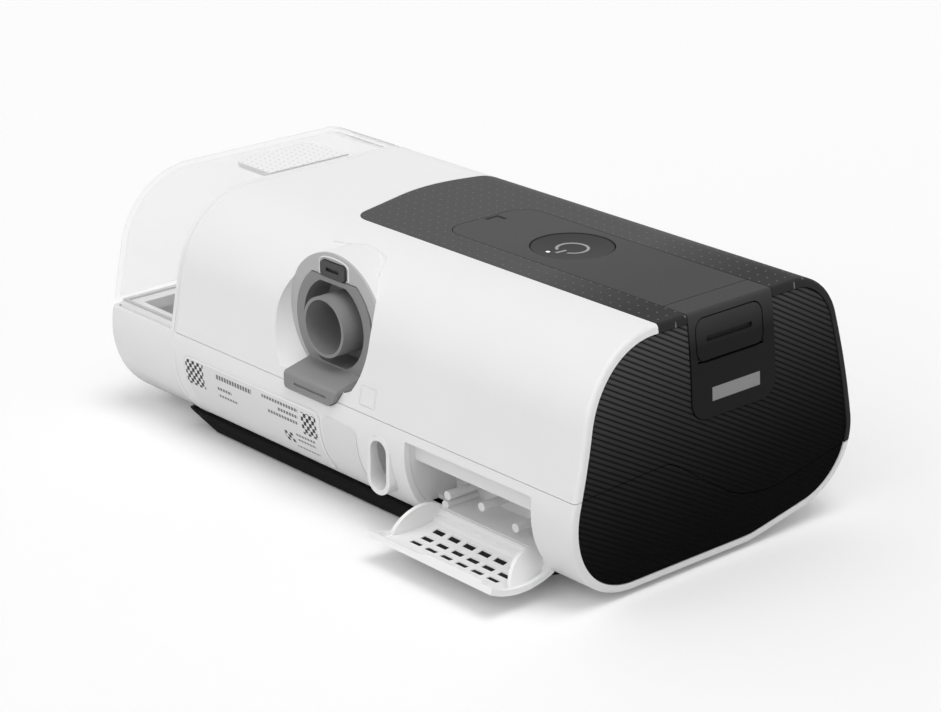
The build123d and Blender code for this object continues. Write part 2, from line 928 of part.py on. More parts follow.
panel_back_radius = end_radius - end_panel_recess - end_panel_thickness
with BuildPart() as end_panel_blank:
    with BuildSketch(Plane.YZ.offset(body_end_x - 2 * spill)):
        add(body_section(rim_width + seam_gap))
    extrude(amount=3 * spill)
    with Locations((body_end_x - end_radius, 0, end_crown_z)):
        Cylinder(end_radius - end_panel_recess, reach, rotation=(90, 0, 180), mode=Mode.INTERSECT)
        Cylinder(panel_back_radius, reach, rotation=(90, 0, 180), mode=Mode.SUBTRACT)

with BuildPart() as end_panel_upper:
    add(end_panel_blank.part)
    add(lower_zone_raised, mode=Mode.SUBTRACT)
    add(tab_zone(seam_gap), mode=Mode.SUBTRACT)
publish(end_panel_upper, "end_panel_upper")

with BuildPart() as end_panel_lower:
    add(end_panel_blank.part)
    add(lower_zone, mode=Mode.INTERSECT)
publish(end_panel_lower, "end_panel_lower")

# ---------------------------------------------------------------- start button
button_top_z = body_height - button_sink
button_height = button_top_z - inner_top_z + seat_gap
dish_sphere = (button_radius ** 2 + button_dish_depth ** 2) / (2 * button_dish_depth)

with BuildPart() as button_blank:
    with Locations((button_x, button_y, button_top_z - button_height / 2)):
        Cylinder(button_radius, button_height)
    fillet(button_blank.edges().sort_by(Axis.Z)[-1], radius=button_edge_radius)
    with Locations((button_x, button_y, button_top_z + dish_sphere - button_dish_depth)):
        Sphere(dish_sphere, mode=Mode.SUBTRACT)
    with Locations((button_x, button_y, button_top_z - button_height - button_flange_thickness / 2)):
        Cylinder(button_flange_radius, button_flange_thickness)

with BuildPart() as symbol_form:
    with BuildSketch(Plane.XY.offset(button_top_z - button_dish_depth - symbol_depth)):
        with Locations((button_x, button_y)):
            Circle(symbol_radius + symbol_stroke / 2)
            Circle(symbol_radius - symbol_stroke / 2, mode=Mode.SUBTRACT)
        with Locations((button_x, button_y - symbol_radius)):
            Rectangle(symbol_opening, symbol_radius, mode=Mode.SUBTRACT)
            Rectangle(symbol_stroke, symbol_bar_length)
    extrude(amount=spill)

with BuildPart() as light_form:
    with Locations(
        (button_x + light_offset_x, button_y + light_offset_y, button_top_z - button_dish_depth)
    ):
        Cylinder(light_radius, 2 * symbol_depth)

with BuildPart() as start_button:
    add(button_blank.part)
    add(symbol_form.part, mode=Mode.SUBTRACT)
    add(light_form.part, mode=Mode.SUBTRACT)
publish(start_button, "start_button")

with BuildPart() as button_symbol:
    add(symbol_form.part)
    add(button_blank.part, mode=Mode.INTERSECT)
publish(button_symbol, "button_symbol")

with BuildPart() as button_light:
    add(light_form.part)
    add(button_blank.part, mode=Mode.INTERSECT)
publish(button_light, "button_light")

with BuildPart() as switch_board:
    with Locations((button_x, button_y, switch_board_z + switch_board_thickness / 2)):
        Box(2 * switch_board_half_length, 2 * switch_board_half_width, switch_board_thickness)
publish(switch_board, "switch_board")

switch_top_z = button_top_z - button_height - button_flange_thickness - button_travel - seat_gap / 3
switch_seat_z = switch_board_z + switch_board_thickness
with BuildPart() as button_switch:
    with Locations((button_x, button_y, (switch_seat_z + switch_top_z - switch_stem) / 2)):
        Box(switch_size, switch_size, switch_top_z - switch_stem - switch_seat_z)
    with Locations((button_x, button_y, switch_top_z - switch_stem / 2)):
        Cylinder(switch_size / 4, switch_stem)
publish(button_switch, "button_switch")

# ---------------------------------------------------------------- outlet
with BuildPart() as outlet_plate:
    add(along_y(plate_outline(-running_gap), boss_face_y, plate_back_y))
    add(dish_hole, mode=Mode.SUBTRACT)
    add(clip_hole, mode=Mode.SUBTRACT)
    add(tray_notch, mode=Mode.SUBTRACT)
publish(outlet_plate, "outlet_plate")

dish_back_y = dish_floor_y + dish_floor_thickness
tray_slot_z = (tray_low_z + tray_lip_z) / 2

tray_side_corners = (
    (tray_back_y, tray_low_z + tray_rise),
    (tray_front_y + tray_chin, tray_low_z),
    (tray_front_y, tray_low_z + tray_chin),
    (tray_front_y, tray_lip_z),
    (tray_back_y, tray_back_z),
)
tray_side_radii = (tray_edge_radius,) * 3 + (tray_lip_radius, tray_edge_radius)
tray_side = prism(rounded_profile(tray_side_corners, tray_side_radii), Plane.YZ, tray_low_x, tray_high_x)

bowl = along_y(dish_outline(dish_bore_radius, dish_top_z - dish_wall), outside_y, dish_floor_y)

with BuildPart() as outlet_connector:
    add(along_y(dish_outline(dish_rim_radius, dish_top_z), dish_rim_y, dish_rim_y + dish_rim_thickness))
    add(along_y(dish_outline(dish_bore_radius + dish_wall, dish_top_z), dish_rim_y, dish_back_y))
    add(tray_side & along_y(tray_outline(), outside_y, tray_back_y))
    add(bowl - tray_room, mode=Mode.SUBTRACT)
    with BuildSketch(Plane.XZ.offset(-tray_front_y - tray_slot_depth)):
        with Locations(((tray_low_x + tray_high_x) / 2, tray_slot_z)):
            RectangleRounded(tray_slot_length, tray_slot_height, tray_slot_height * slot_round)
    extrude(amount=2 * tray_slot_depth, mode=Mode.SUBTRACT)
    add(along_y(disc(outlet_radius, outlet_middle), outlet_front_y, dish_floor_y))
    add(along_y(disc(duct_spigot_radius, outlet_middle), dish_floor_y, dish_back_y + spigot_length))
    add(along_y(disc(outlet_mouth_radius, outlet_middle), outside_y, dish_floor_y), mode=Mode.SUBTRACT)
    add(along_y(disc(outlet_bore_radius, outlet_middle), outside_y, pocket_inner_y), mode=Mode.SUBTRACT)
publish(outlet_connector, "outlet_connector")

clip_front_y = boss_face_y - clip_proud
with BuildPart() as outlet_clip:
    add(along_y(clip_profile(), clip_front_y, clip_front_y + clip_thickness))
    with BuildSketch(Plane.XZ.offset(-clip_front_y)):
        with Locations(((clip_low_x + clip_high_x) / 2, (clip_low_z + clip_high_z) / 2)):
            Rectangle(clip_slot_width, clip_slot_height)
    extrude(amount=-clip_thickness / 2, mode=Mode.SUBTRACT)
publish(outlet_clip, "outlet_clip")

# The duct runs along X from the docking bay, then bends to the outlet.
duct_mouth_y = dish_back_y + seat_gap
with BuildPart() as outlet_duct:
    with BuildLine() as duct_path:
        FilletPolyline(
            (bay_back_x + seat_gap, port_out_y, outlet_z),
            (outlet_x, port_out_y, outlet_z),
            (outlet_x, duct_mouth_y, outlet_z),
            radius=duct_bend_radius,
        )
    with BuildSketch(Plane.YZ.offset(bay_back_x + seat_gap)):
        with Locations((port_out_y, outlet_z)):
            Circle(duct_radius)
            Circle(duct_bore_radius, mode=Mode.SUBTRACT)
    sweep(path=duct_path.line)
publish(outlet_duct, "outlet_duct")

# ---------------------------------------------------------------- filter door and chamber
hinge_point = Vector(0, door_hinge_y, door_hinge_z)
open_y = cos(radians(door_open_angle))
open_z = sin(radians(door_open_angle))
door_plane = Plane(origin=hinge_point, x_dir=(0, open_y, open_z), z_dir=(1, 0, 0))
grille_plane = Plane(origin=hinge_point, x_dir=(1, 0, 0), z_dir=(0, -open_y, -open_z))
plan_plane = Plane(origin=hinge_point, x_dir=(1, 0, 0), z_dir=(0, -open_z, open_y))


def door_frame_profile(profile):
    """Profile drawn on the closed door, counted from the hinge."""
    return Pos(-door_hinge_y, -door_hinge_z) * profile


with BuildSketch() as door_skin_profile:
    add(body_section())
    add(body_section(door_skin), mode=Mode.SUBTRACT)
    add(
        window(outside_y, door_hinge_y + round_trim, door_hinge_z, door_top_z),
        mode=Mode.INTERSECT,
    )
    with Locations((door_hinge_y, door_hinge_z)):
        Circle(door_skin)

with BuildSketch() as door_relief_profile:
    add(body_section(door_plate))
    add(window(outside_y, door_hinge_y + door_skin, door_plate_low_z, door_lip_low_z), mode=Mode.INTERSECT)

with BuildSketch() as door_wing_profile:
    add(body_section(door_plate / 2))
    add(window(-reach, reach, door_hinge_z, door_top_z), mode=Mode.INTERSECT)
    with Locations((door_hinge_y - door_wing_reach, door_hinge_z + door_wing_rise)):
        Circle(door_wing_radius, mode=Mode.INTERSECT)

with BuildSketch() as door_lip_profile:
    add(body_section(door_plate))
    add(window(outside_y, door_hinge_y, door_lip_low_z, door_top_z), mode=Mode.INTERSECT)

door_length = door_high_x - door_low_x
wing_outer = -near_half_width - door_hinge_y
wing_inner = door_wing_radius - door_wing_reach
wing_width = door_wing_slant + door_wing_thickness
wing_plans = [
    (
        (corner_x, wing_outer),
        (corner_x + side * door_wing_thickness, wing_outer),
        (corner_x + side * wing_width, wing_inner + round_trim),
        (corner_x + side * door_wing_slant, wing_inner + round_trim),
    )
    for corner_x, side in ((door_low_x, 1), (door_high_x, -1))
]
lip_inner = near_wall_y(door_lip_low_z) - door_hinge_y + door_skin
lip_low_x = door_low_x + door_lip_start
lip_high_x = door_high_x - door_lip_end
lip_plans = [
    (
        (lip_low_x, wing_outer),
        (lip_low_x, lip_inner),
        (lip_low_x + door_lip_ramp, lip_inner + door_lip_rise),
        (lip_high_x, lip_inner + door_lip_rise),
        (lip_high_x, wing_outer),
    )
]


def door_rib(profile, plans):
    """Ribs on the open door, from their outline across the closed door and their plans from above it."""
    with BuildPart() as rib:
        with BuildSketch(door_plane.offset(door_low_x)):
            add(door_frame_profile(profile))
        extrude(amount=door_length)
        with BuildSketch(plan_plane):
            for corners in plans:
                with BuildLine():
                    Polyline(*corners, close=True)
                make_face()
        extrude(amount=reach, mode=Mode.INTERSECT)
    return rib.part


with BuildPart() as filter_door:
    with BuildSketch(door_plane.offset(door_low_x)):
        add(door_frame_profile(door_skin_profile.sketch))
    extrude(amount=door_length)
    with BuildSketch(door_plane.offset(door_low_x + door_wing_thickness)):
        add(door_frame_profile(door_relief_profile.sketch))
    extrude(amount=door_length - 2 * door_wing_thickness, mode=Mode.SUBTRACT)
    add(door_rib(door_wing_profile.sketch, wing_plans))
    add(door_rib(door_lip_profile.sketch, lip_plans))
    with BuildSketch(door_plane.offset(door_low_x)):
        Circle(door_pin_radius + running_gap)
    extrude(amount=door_length, mode=Mode.SUBTRACT)
    with BuildSketch(grille_plane):
        with Locations(((door_low_x + door_high_x) / 2, grille_middle_z - door_hinge_z)):
            with GridLocations(grille_pitch_x, grille_pitch_z, grille_columns, grille_rows):
                Rectangle(grille_slot_length, grille_slot_height)
    extrude(amount=near_bottom_radius, mode=Mode.SUBTRACT)
publish(filter_door, "filter_door")

with BuildPart() as door_hinge_pins:
    for start in (door_pin_start, door_pin_end - door_pin_length):
        with BuildSketch(Plane.YZ.offset(start)):
            with Locations((door_hinge_y, door_hinge_z)):
                Circle(door_pin_radius)
        extrude(amount=door_pin_length)
publish(door_hinge_pins, "door_hinge_pins")

wing_slot_length = wing_width + 2 * door_gap
with BuildPart() as ledge_recess:
    add(
        block(
            door_low_x - door_gap,
            door_high_x + door_gap,
            outside_y,
            chamber_back_y,
            chamber_ledge_z,
            door_top_z + door_gap,
        )
    )
    add(body_solid(inset=chamber_ledge_depth), mode=Mode.SUBTRACT)

with BuildPart() as filter_chamber:
    add(
        block(
            door_low_x - door_gap - chamber_wall,
            door_high_x + door_gap + chamber_wall,
            outside_y,
            chamber_back_y,
            chamber_floor_z,
            chamber_top_z + chamber_wall,
        )
    )
    add(
        block(
            door_low_x - door_gap,
            door_high_x + door_gap,
            outside_y - spill,
            chamber_back_y - chamber_wall,
            chamber_floor_z + chamber_wall,
            chamber_ledge_z,
        ),
        mode=Mode.SUBTRACT,
    )
    add(
        block(
            door_low_x - door_gap,
            door_high_x + door_gap,
            near_wall_y(chamber_top_z) + chamber_ledge_depth + chamber_wall,
            chamber_back_y - chamber_wall,
            chamber_floor_z + chamber_wall,
            chamber_top_z,
        ),
        mode=Mode.SUBTRACT,
    )
    add(ledge_recess.part, mode=Mode.SUBTRACT)
    for slot_x in (door_low_x - door_gap, door_high_x + door_gap - wing_slot_length):
        add(
            block(
                slot_x,
                slot_x + wing_slot_length,
                outside_y,
                door_hinge_y + wing_inner + door_gap,
                belly_height,
                chamber_floor_z + chamber_wall + round_trim,
            ),
            mode=Mode.SUBTRACT,
        )
    add(body_solid(inset=shell_wall + seat_gap / 2), mode=Mode.INTERSECT)
    add(lower_zone, mode=Mode.INTERSECT)
    add(hinge_sweep, mode=Mode.SUBTRACT)
    with BuildSketch(Plane.XZ.offset(-chamber_back_y - chamber_wall)):
        with Locations(((foam_low_x + foam_high_x) / 2, chamber_ledge_z + chamber_wall)):
            with GridLocations((foam_high_x - foam_low_x) / chamber_vents, 1, chamber_vents, 1):
                Rectangle((foam_high_x - foam_low_x) / (chamber_vents + 1), chamber_vent_height)
    extrude(amount=-chamber_wall, mode=Mode.SUBTRACT)
    with BuildSketch(Plane.XZ.offset(-chamber_back_y)):
        with Locations(*pin_places):
            Circle(pin_radius)
    extrude(amount=pin_length)
publish(filter_chamber, "filter_chamber")

foam_near_y = chamber_back_y + foam_gap
with BuildPart() as inlet_foam:
    add(
        block(
            foam_low_x,
            foam_high_x,
            foam_near_y,
            foam_near_y + foam_thickness,
            chassis_top_z + seat_gap,
            foam_high_z,
        )
    )
publish(inlet_foam, "inlet_foam")

# ---------------------------------------------------------------- power inlet
with BuildPart() as inlet_bezel:
    add(
        prism(
            window(
                inlet_x - inlet_width / 2 + slip_gap,
                inlet_x + inlet_width / 2 - slip_gap,
                inlet_outline_low + slip_gap,
                inlet_outline_low + inlet_height - slip_gap,
                inlet_width / 2 - 2 * slip_gap,
            ),
            Plane.XZ,
            -chamber_back_y,
            near_half_width + inlet_proud,
        )
    )
    add(body_solid(inset=shell_wall + inlet_proud), mode=Mode.SUBTRACT)
    add(
        prism(
            window(
                inlet_x - inlet_width / 2 + inlet_wall,
                inlet_x + inlet_width / 2 - inlet_wall,
                inlet_outline_low + inlet_wall,
                inlet_outline_low + inlet_height - inlet_wall,
                inlet_width / 2 - inlet_wall - slip_gap,
            ),
            Plane.XZ,
            -chamber_back_y,
            -outside_y,
        ),
        mode=Mode.SUBTRACT,
    )
publish(inlet_bezel, "inlet_bezel")

socket_back_y = -near_half_width + shell_wall + inlet_proud + socket_depth + socket_wall
with BuildPart() as power_socket:
    add(
        block(
            inlet_x - inlet_width / 2 - socket_margin,
            inlet_x + inlet_width / 2 + socket_margin,
            -near_half_width,
            socket_back_y,
            inlet_outline_low - socket_margin,
            inlet_outline_low + inlet_height + socket_margin,
        )
    )
    add(
        prism(
            window(
                inlet_x - inlet_width / 2 + inlet_wall,
                inlet_x + inlet_width / 2 - inlet_wall,
                inlet_outline_low + inlet_wall,
                inlet_outline_low + inlet_height - inlet_wall,
                inlet_width / 2 - inlet_wall - slip_gap,
            ),
            Plane.XZ,
            -socket_back_y + socket_wall,
            -outside_y,
        ),
        mode=Mode.SUBTRACT,
    )
    add(body_solid(inset=shell_wall + inlet_proud + slip_gap), mode=Mode.INTERSECT)
publish(power_socket, "power_socket")

with BuildPart() as socket_contacts:
    with BuildSketch(Plane.XZ.offset(-socket_back_y + socket_wall)):
        with Locations((inlet_x, inlet_z)):
            with GridLocations(1, contact_pitch, 1, contact_count):
                Circle(contact_radius)
    extrude(amount=contact_length)
publish(socket_contacts, "socket_contacts")


def label_solid(low_x, high_x, low_z, high_z):
    """Thin plate that follows the near side just outside its face."""
    with BuildPart() as plate:
        with BuildSketch(Plane.XZ.offset(near_half_width / 2)):
            add(window(low_x, high_x, low_z, high_z, label_corner))
        extrude(amount=near_half_width)
        add(body_solid(inset=-label_air - label_thickness), mode=Mode.INTERSECT)
        add(body_solid(inset=-label_air), mode=Mode.SUBTRACT)
    return plate


publish(label_solid(label_low_x, label_high_x, label_low_z, label_high_z), "label_plate")
publish(label_solid(rating_low_x, rating_high_x, label_low_z, label_high_z), "rating_plate")

# ---------------------------------------------------------------- base
pad_places = [(x, y) for x in foot_plan_x for y in foot_plan_y]
with BuildPart() as base_foot:
    with BuildSketch():
        add(window(foot_low_x, foot_high_x, foot_low_y, foot_high_y, foot_corner))
    extrude(amount=foot_blank_height)
    chamfer(base_foot.edges().group_by(Axis.Z)[0], length=foot_chamfer)
    add(body_solid(), mode=Mode.SUBTRACT)
    with BuildSketch():
        with Locations(*pad_places):
            Circle(pad_radius)
    extrude(amount=pad_height, mode=Mode.SUBTRACT)
publish(base_foot, "base_foot")

with BuildPart() as rubber_feet:
    with BuildSketch():
        with Locations(*pad_places):
            Circle(pad_radius - slip_gap)
    extrude(amount=pad_height)
publish(rubber_feet, "rubber_feet")

# ---------------------------------------------------------------- docking bay
bay_ports = ((port_out_y, outlet_z), (port_in_y, port_in_z))


def bay_profile(grow=0.0):
    return window(-bay_half_width, bay_half_width, bay_low_z, bay_high_z, bay_corner_radius, grow)


heater_window = window(heater_low_x, heater_high_x, -heater_half_width, heater_half_width)
with BuildPart() as bay_liner:
    with BuildSketch(Plane.YZ.offset(housing_start_x + seat_gap)):
        add(bay_profile(bay_wall))
    extrude(amount=bay_back_x - housing_start_x - seat_gap)
    with BuildSketch(Plane.YZ.offset(housing_start_x + seat_gap)):
        add(body_section(shell_wall + seat_gap))
    extrude(amount=bay_flange)
    with BuildSketch(Plane.YZ.offset(housing_start_x)):
        add(bay_profile())
    extrude(amount=bay_end_x - housing_start_x, mode=Mode.SUBTRACT)
    with BuildSketch(Plane.YZ.offset(bay_end_x)):
        with Locations(*bay_ports):
            Circle(duct_spigot_radius)
    extrude(amount=bay_wall + seat_gap + spigot_length)
    with BuildSketch(Plane.YZ.offset(bay_end_x)):
        with Locations(*bay_ports):
            Circle(duct_spigot_radius - duct_spigot_wall)
    extrude(amount=bay_wall + seat_gap + spigot_length, mode=Mode.SUBTRACT)
    with BuildSketch(Plane.XY.offset(bay_low_z - bay_wall)):
        add(heater_window)
    extrude(amount=bay_wall, mode=Mode.SUBTRACT)
publish(bay_liner, "bay_liner")

seal_thickness = bay_end_x - tub_inner_end_x - seat_gap
with BuildPart() as bay_seals:
    with BuildSketch(Plane.YZ.offset(bay_end_x - seal_thickness)):
        with Locations(*bay_ports):
            Circle(port_seal_radius)
            Circle(duct_spigot_radius - duct_spigot_wall, mode=Mode.SUBTRACT)
    extrude(amount=seal_thickness)
publish(bay_seals, "bay_seals")

with BuildPart() as heater_plate:
    with BuildSketch(Plane.XY.offset(heater_top_z - heater_thickness)):
        add(window(heater_low_x, heater_high_x, -heater_half_width, heater_half_width, 0, -heater_gap))
    extrude(amount=heater_thickness)
publish(heater_plate, "heater_plate")

spring_height = heater_top_z - heater_thickness - inner_floor_z - 2 * heater_spring_wire
spring_columns = (heater_low_x + heater_spring_inset, heater_high_x - heater_spring_inset)
spring_places = [(x, y) for x in spring_columns for y in heater_spring_rows]
with BuildPart() as heater_springs:
    for x, y in spring_places:
        with BuildLine(Plane.XY.offset(inner_floor_z + heater_spring_wire)) as coil:
            Helix(
                spring_height / heater_spring_turns,
                spring_height,
                heater_spring_radius,
                center=(x, y, 0),
            )
        with BuildSketch(Plane(origin=coil.line @ 0, z_dir=coil.line % 0)):
            Circle(heater_spring_wire)
        sweep(path=coil.line)
publish(heater_springs, "heater_springs")

# ---------------------------------------------------------------- tub
tub_form = tub_solid(edge=tub_edge_radius)
tub_void = tub_solid(inset=tub_wall, edge=tub_inner_edge_radius, end_x=tub_chamber_x)
insert_low_z = bay_low_z + bay_floor_clearance - bay_clearance


def insert_profile(grow):
    """End view of the part of the tub that fills the docking bay."""
    return window(-bay_half_width, bay_half_width, insert_low_z, bay_high_z, bay_corner_radius, grow)


lug_pitch = (lid_knuckle_width + lid_lug_width) / 2 + seat_gap
lug_places = [side * (lid_knuckle_y + lug_pitch) for side in (-1, 1)]


def lid_axis_bar(radius, middle_y, width):
    """Round bar along Y on the lid's hinge axis."""
    with BuildPart() as bar:
        with Locations((lid_axis_x, middle_y, lid_axis_z)):
            Cylinder(radius, width, rotation=(90, 0, 0))
    return bar.part


lid_pin_hole = lid_axis_bar(lid_pin_radius + running_gap, 0, 4 * lid_knuckle_y)
lid_room = block(-reach, lid_inner_x + tub_joint_gap, -reach, reach, tub_base_top_z, reach)

with BuildPart() as tub_base:
    add(tub_form)
    add(tub_void, mode=Mode.SUBTRACT)
    add(lid_room, mode=Mode.SUBTRACT)
    with BuildSketch(Plane.YZ.offset(tub_joint_x)):
        add(insert_profile(-bay_clearance))
    extrude(amount=tub_inner_end_x - tub_joint_x)
    with BuildSketch(Plane.YZ.offset(tub_chamber_x)):
        add(insert_profile(-bay_clearance - tub_wall))
    extrude(amount=tub_inner_end_x - tub_wall - tub_chamber_x, mode=Mode.SUBTRACT)
    with BuildSketch(Plane.YZ.offset(tub_inner_end_x - tub_wall)):
        with Locations(*bay_ports):
            Circle(duct_spigot_radius - duct_spigot_wall)
    extrude(amount=tub_wall, mode=Mode.SUBTRACT)
    with BuildSketch(Plane.XY.offset(bay_low_z)):
        add(heater_window)
    extrude(amount=bay_floor_clearance + tub_plate_thickness, mode=Mode.SUBTRACT)
    with BuildSketch(Plane.XY.offset(bay_low_z)):
        add(window(heater_low_x, heater_high_x, -heater_half_width, heater_half_width, 0, -tub_plate_ledge))
    extrude(amount=bay_floor_clearance + tub_wall, mode=Mode.SUBTRACT)
    for lug_y in lug_places:
        add(lid_axis_bar(lid_knuckle_radius, lug_y, lid_lug_width))
        add(
            block(
                lid_axis_x - lid_knuckle_radius,
                lid_axis_x + lid_knuckle_radius,
                lug_y - lid_lug_width / 2,
                lug_y + lid_lug_width / 2,
                tub_base_top_z - lid_lug_root,
                lid_axis_z,
            )
        )
    add(lid_pin_hole, mode=Mode.SUBTRACT)
publish(tub_base, "tub_base")

with BuildPart() as tub_plate:
    with BuildSketch(Plane.XY.offset(bay_low_z + bay_floor_clearance)):
        add(window(heater_low_x, heater_high_x, -heater_half_width, heater_half_width, 0, -running_gap))
    extrude(amount=tub_plate_thickness)
publish(tub_plate, "tub_plate")


def grip_zone(grow=0.0):
    """Plan of the grip: round at the free end, square at the housing."""
    with BuildSketch() as profile:
        add(window(grip_low_x, reach, grip_low_y, grip_high_y, grip_corner_radius, grow))
        add(window(lid_inner_x - grip_setback + grow, 2 * reach, -reach, reach), mode=Mode.SUBTRACT)
    return prism(profile.sketch, Plane.XY, bay_high_z, body_height + spill)


with BuildPart() as tub_lid:
    add(tub_solid(edge=tub_edge_radius, end_x=lid_inner_x))
    add(tub_solid(inset=tub_wall, edge=tub_inner_edge_radius, end_x=lid_inner_x), mode=Mode.SUBTRACT)
    add(block(-reach, reach, -reach, reach, -reach, tub_lid_low_z), mode=Mode.SUBTRACT)
    for side in (-1, 1):
        add(lid_axis_bar(lid_knuckle_radius, side * lid_knuckle_y, lid_knuckle_width))
    for lug_y in lug_places:
        add(lid_axis_bar(lid_lug_swing_radius, lug_y, lid_lug_width + 2 * seat_gap), mode=Mode.SUBTRACT)
    add(lid_pin_hole, mode=Mode.SUBTRACT)
    add(grip_zone(grip_gap), mode=Mode.SUBTRACT)
publish(tub_lid, "tub_lid")

with BuildPart() as tub_grip:
    add(grip_zone())
    add(tub_solid(edge=tub_edge_radius, end_x=lid_inner_x), mode=Mode.INTERSECT)
    add(tub_solid(inset=tub_wall, end_x=lid_inner_x), mode=Mode.SUBTRACT)
publish(tub_grip, "tub_grip")

hinge_pin_length = 2 * (lug_places[1] + lid_lug_width / 2) - lid_pin_short
with BuildPart() as tub_hinge_pin:
    add(lid_axis_bar(lid_pin_radius, 0, hinge_pin_length))
publish(tub_hinge_pin, "tub_hinge_pin")

with BuildPart() as tub_frame:
    add(tub_solid(inset=tub_wall + seat_gap, end_x=tub_chamber_x - seat_gap))
    add(
        block(
            tub_end_x + frame_inset,
            tub_chamber_x - seat_gap,
            -reach,
            reach,
            frame_top_z - frame_thickness,
            frame_top_z,
        ),
        mode=Mode.INTERSECT,
    )
    add(
        block(
            tub_end_x + frame_inset + frame_rim,
            tub_chamber_x - seat_gap - frame_rim,
            -near_half_width + tub_wall + frame_rim,
            far_half_width - tub_wall - frame_rim,
            -reach,
            reach,
        ),
        mode=Mode.SUBTRACT,
    )
    for side in (-1, 1):
        with Locations(
            ((tub_end_x + tub_chamber_x) / 2, side * frame_bar_y, frame_top_z - frame_thickness / 2)
        ):
            Box(tub_chamber_x - tub_end_x - 2 * frame_rim, frame_bar, frame_thickness)
publish(tub_frame, "tub_frame")

with BuildPart() as tub_seal:
    add(tub_solid(inset=tub_wall + 2 * seat_gap, end_x=lid_inner_x - seat_gap))
    add(
        block(tub_end_x + frame_inset, lid_inner_x, -reach, reach, frame_top_z, frame_top_z + seal_height),
        mode=Mode.INTERSECT,
    )
    add(
        block(
            tub_end_x + frame_inset + seal_width,
            lid_inner_x - seat_gap - seal_width,
            -near_half_width + tub_wall + 2 * seat_gap + seal_width + seal_near_extra,
            far_half_width - tub_wall - 2 * seat_gap - seal_width - seal_far_extra,
            -reach,
            reach,
        ),
        mode=Mode.SUBTRACT,
    )
publish(tub_seal, "tub_seal")

# ---------------------------------------------------------------- chassis and electronics
post_places = [
    (x, y)
    for x in (board_low_x + board_post_inset, board_high_x - board_post_inset)
    for y in (board_low_y + board_post_inset, board_high_y - board_post_inset)
]
with BuildPart() as chassis:
    with BuildSketch(Plane.XY.offset(chassis_z)):
        add(window(chassis_low_x, chassis_high_x, chassis_low_y, chassis_high_y, chassis_corner))
        with Locations(*boss_places):
            Circle(screw_radius + slip_gap, mode=Mode.SUBTRACT)
    extrude(amount=chassis_thickness)
    with BuildSketch(Plane.XY.offset(chassis_top_z)):
        with Locations(*post_places):
            Circle(board_post_radius)
    extrude(amount=board_z - chassis_top_z)
publish(chassis, "chassis")

with BuildPart() as main_board:
    with BuildSketch(Plane.XY.offset(board_z)):
        add(window(board_low_x, board_high_x, board_low_y, board_high_y, board_corner))
        with Locations(*post_places):
            Circle(screw_radius + slip_gap, mode=Mode.SUBTRACT)
    extrude(amount=board_thickness)
    with BuildSketch(Plane.XY.offset(board_top_z)):
        for (setback, y), (length, width) in chips:
            with Locations((board_high_x - setback, y)):
                Rectangle(length, width)
    extrude(amount=chip_height)
publish(main_board, "main_board")

with BuildPart() as board_screws:
    with BuildSketch(Plane.XY.offset(board_z)):
        with Locations(*post_places):
            Circle(screw_radius)
    extrude(amount=board_thickness)
    with BuildSketch(Plane.XY.offset(board_top_z)):
        with Locations(*post_places):
            Circle(screw_head_radius)
    extrude(amount=screw_head_height)
publish(board_screws, "board_screws")

with BuildPart() as chassis_screws:
    with BuildSketch(Plane.XY.offset(chassis_z - chassis_screw_grip)):
        with Locations(*boss_places):
            Circle(screw_radius - running_gap)
    extrude(amount=chassis_thickness + chassis_screw_grip)
    with BuildSketch(Plane.XY.offset(chassis_top_z)):
        with Locations(*boss_places):
            Circle(screw_head_radius)
    extrude(amount=screw_head_height)
publish(chassis_screws, "chassis_screws")

with BuildPart() as flow_sensor:
    with Locations((sensor_x, port_in_y, port_in_z + duct_radius + sensor_height / 2 + slip_gap)):
        Box(sensor_length, sensor_width, sensor_height)
publish(flow_sensor, "flow_sensor")

card_socket_back_x = body_end_x - card_socket_setback - card_socket_length
with BuildPart() as card_socket:
    add(
        block(
            card_socket_back_x,
            card_socket_back_x + card_socket_length - end_crown_drop,
            card_socket_low_y,
            card_socket_high_y,
            card_socket_low_z,
            card_socket_low_z + card_socket_height,
        )
    )
    add(
        block(
            card_socket_back_x + card_socket_wall,
            body_end_x,
            card_socket_low_y + card_socket_wall,
            card_socket_high_y - card_socket_wall,
            card_socket_low_z + card_socket_wall,
            card_socket_low_z + card_socket_height - card_socket_wall,
        ),
        mode=Mode.SUBTRACT,
    )
publish(card_socket, "card_socket")

# ---------------------------------------------------------------- blower

def blower_solid(radius, stub_radius, low_z, high_z, stub_start_x):
    """Round chamber joined to a round stub that leaves it tangentially along X."""
    with BuildPart() as solid:
        with Locations((blower_x, blower_y, (low_z + high_z) / 2)):
            Cylinder(radius, high_z - low_z)
        with Locations(((stub_start_x + blower_x) / 2, port_in_y, port_in_z)):
            Cylinder(stub_radius, blower_x - stub_start_x, rotation=(0, 90, 0))
    return solid.part


blower_shell = blower_solid(blower_radius, duct_spigot_radius, blower_low_z, blower_high_z, blower_stub_x)
blower_void = blower_solid(
    blower_radius - blower_wall,
    duct_spigot_radius - duct_spigot_wall,
    blower_low_z + blower_wall,
    blower_high_z - bearing_height,
    blower_stub_x - spill,
)
blower_split = block(-reach, reach, -reach, reach, -reach, blower_split_z)
motor_middle = (blower_x, blower_y)

with BuildPart() as volute_lower:
    add(blower_shell)
    add(blower_void, mode=Mode.SUBTRACT)
    add(blower_split, mode=Mode.INTERSECT)
    with BuildSketch(Plane.XY.offset(blower_low_z)):
        with Locations(motor_middle):
            Circle(blower_inlet_radius)
    extrude(amount=blower_wall, mode=Mode.SUBTRACT)
publish(volute_lower, "volute_lower")

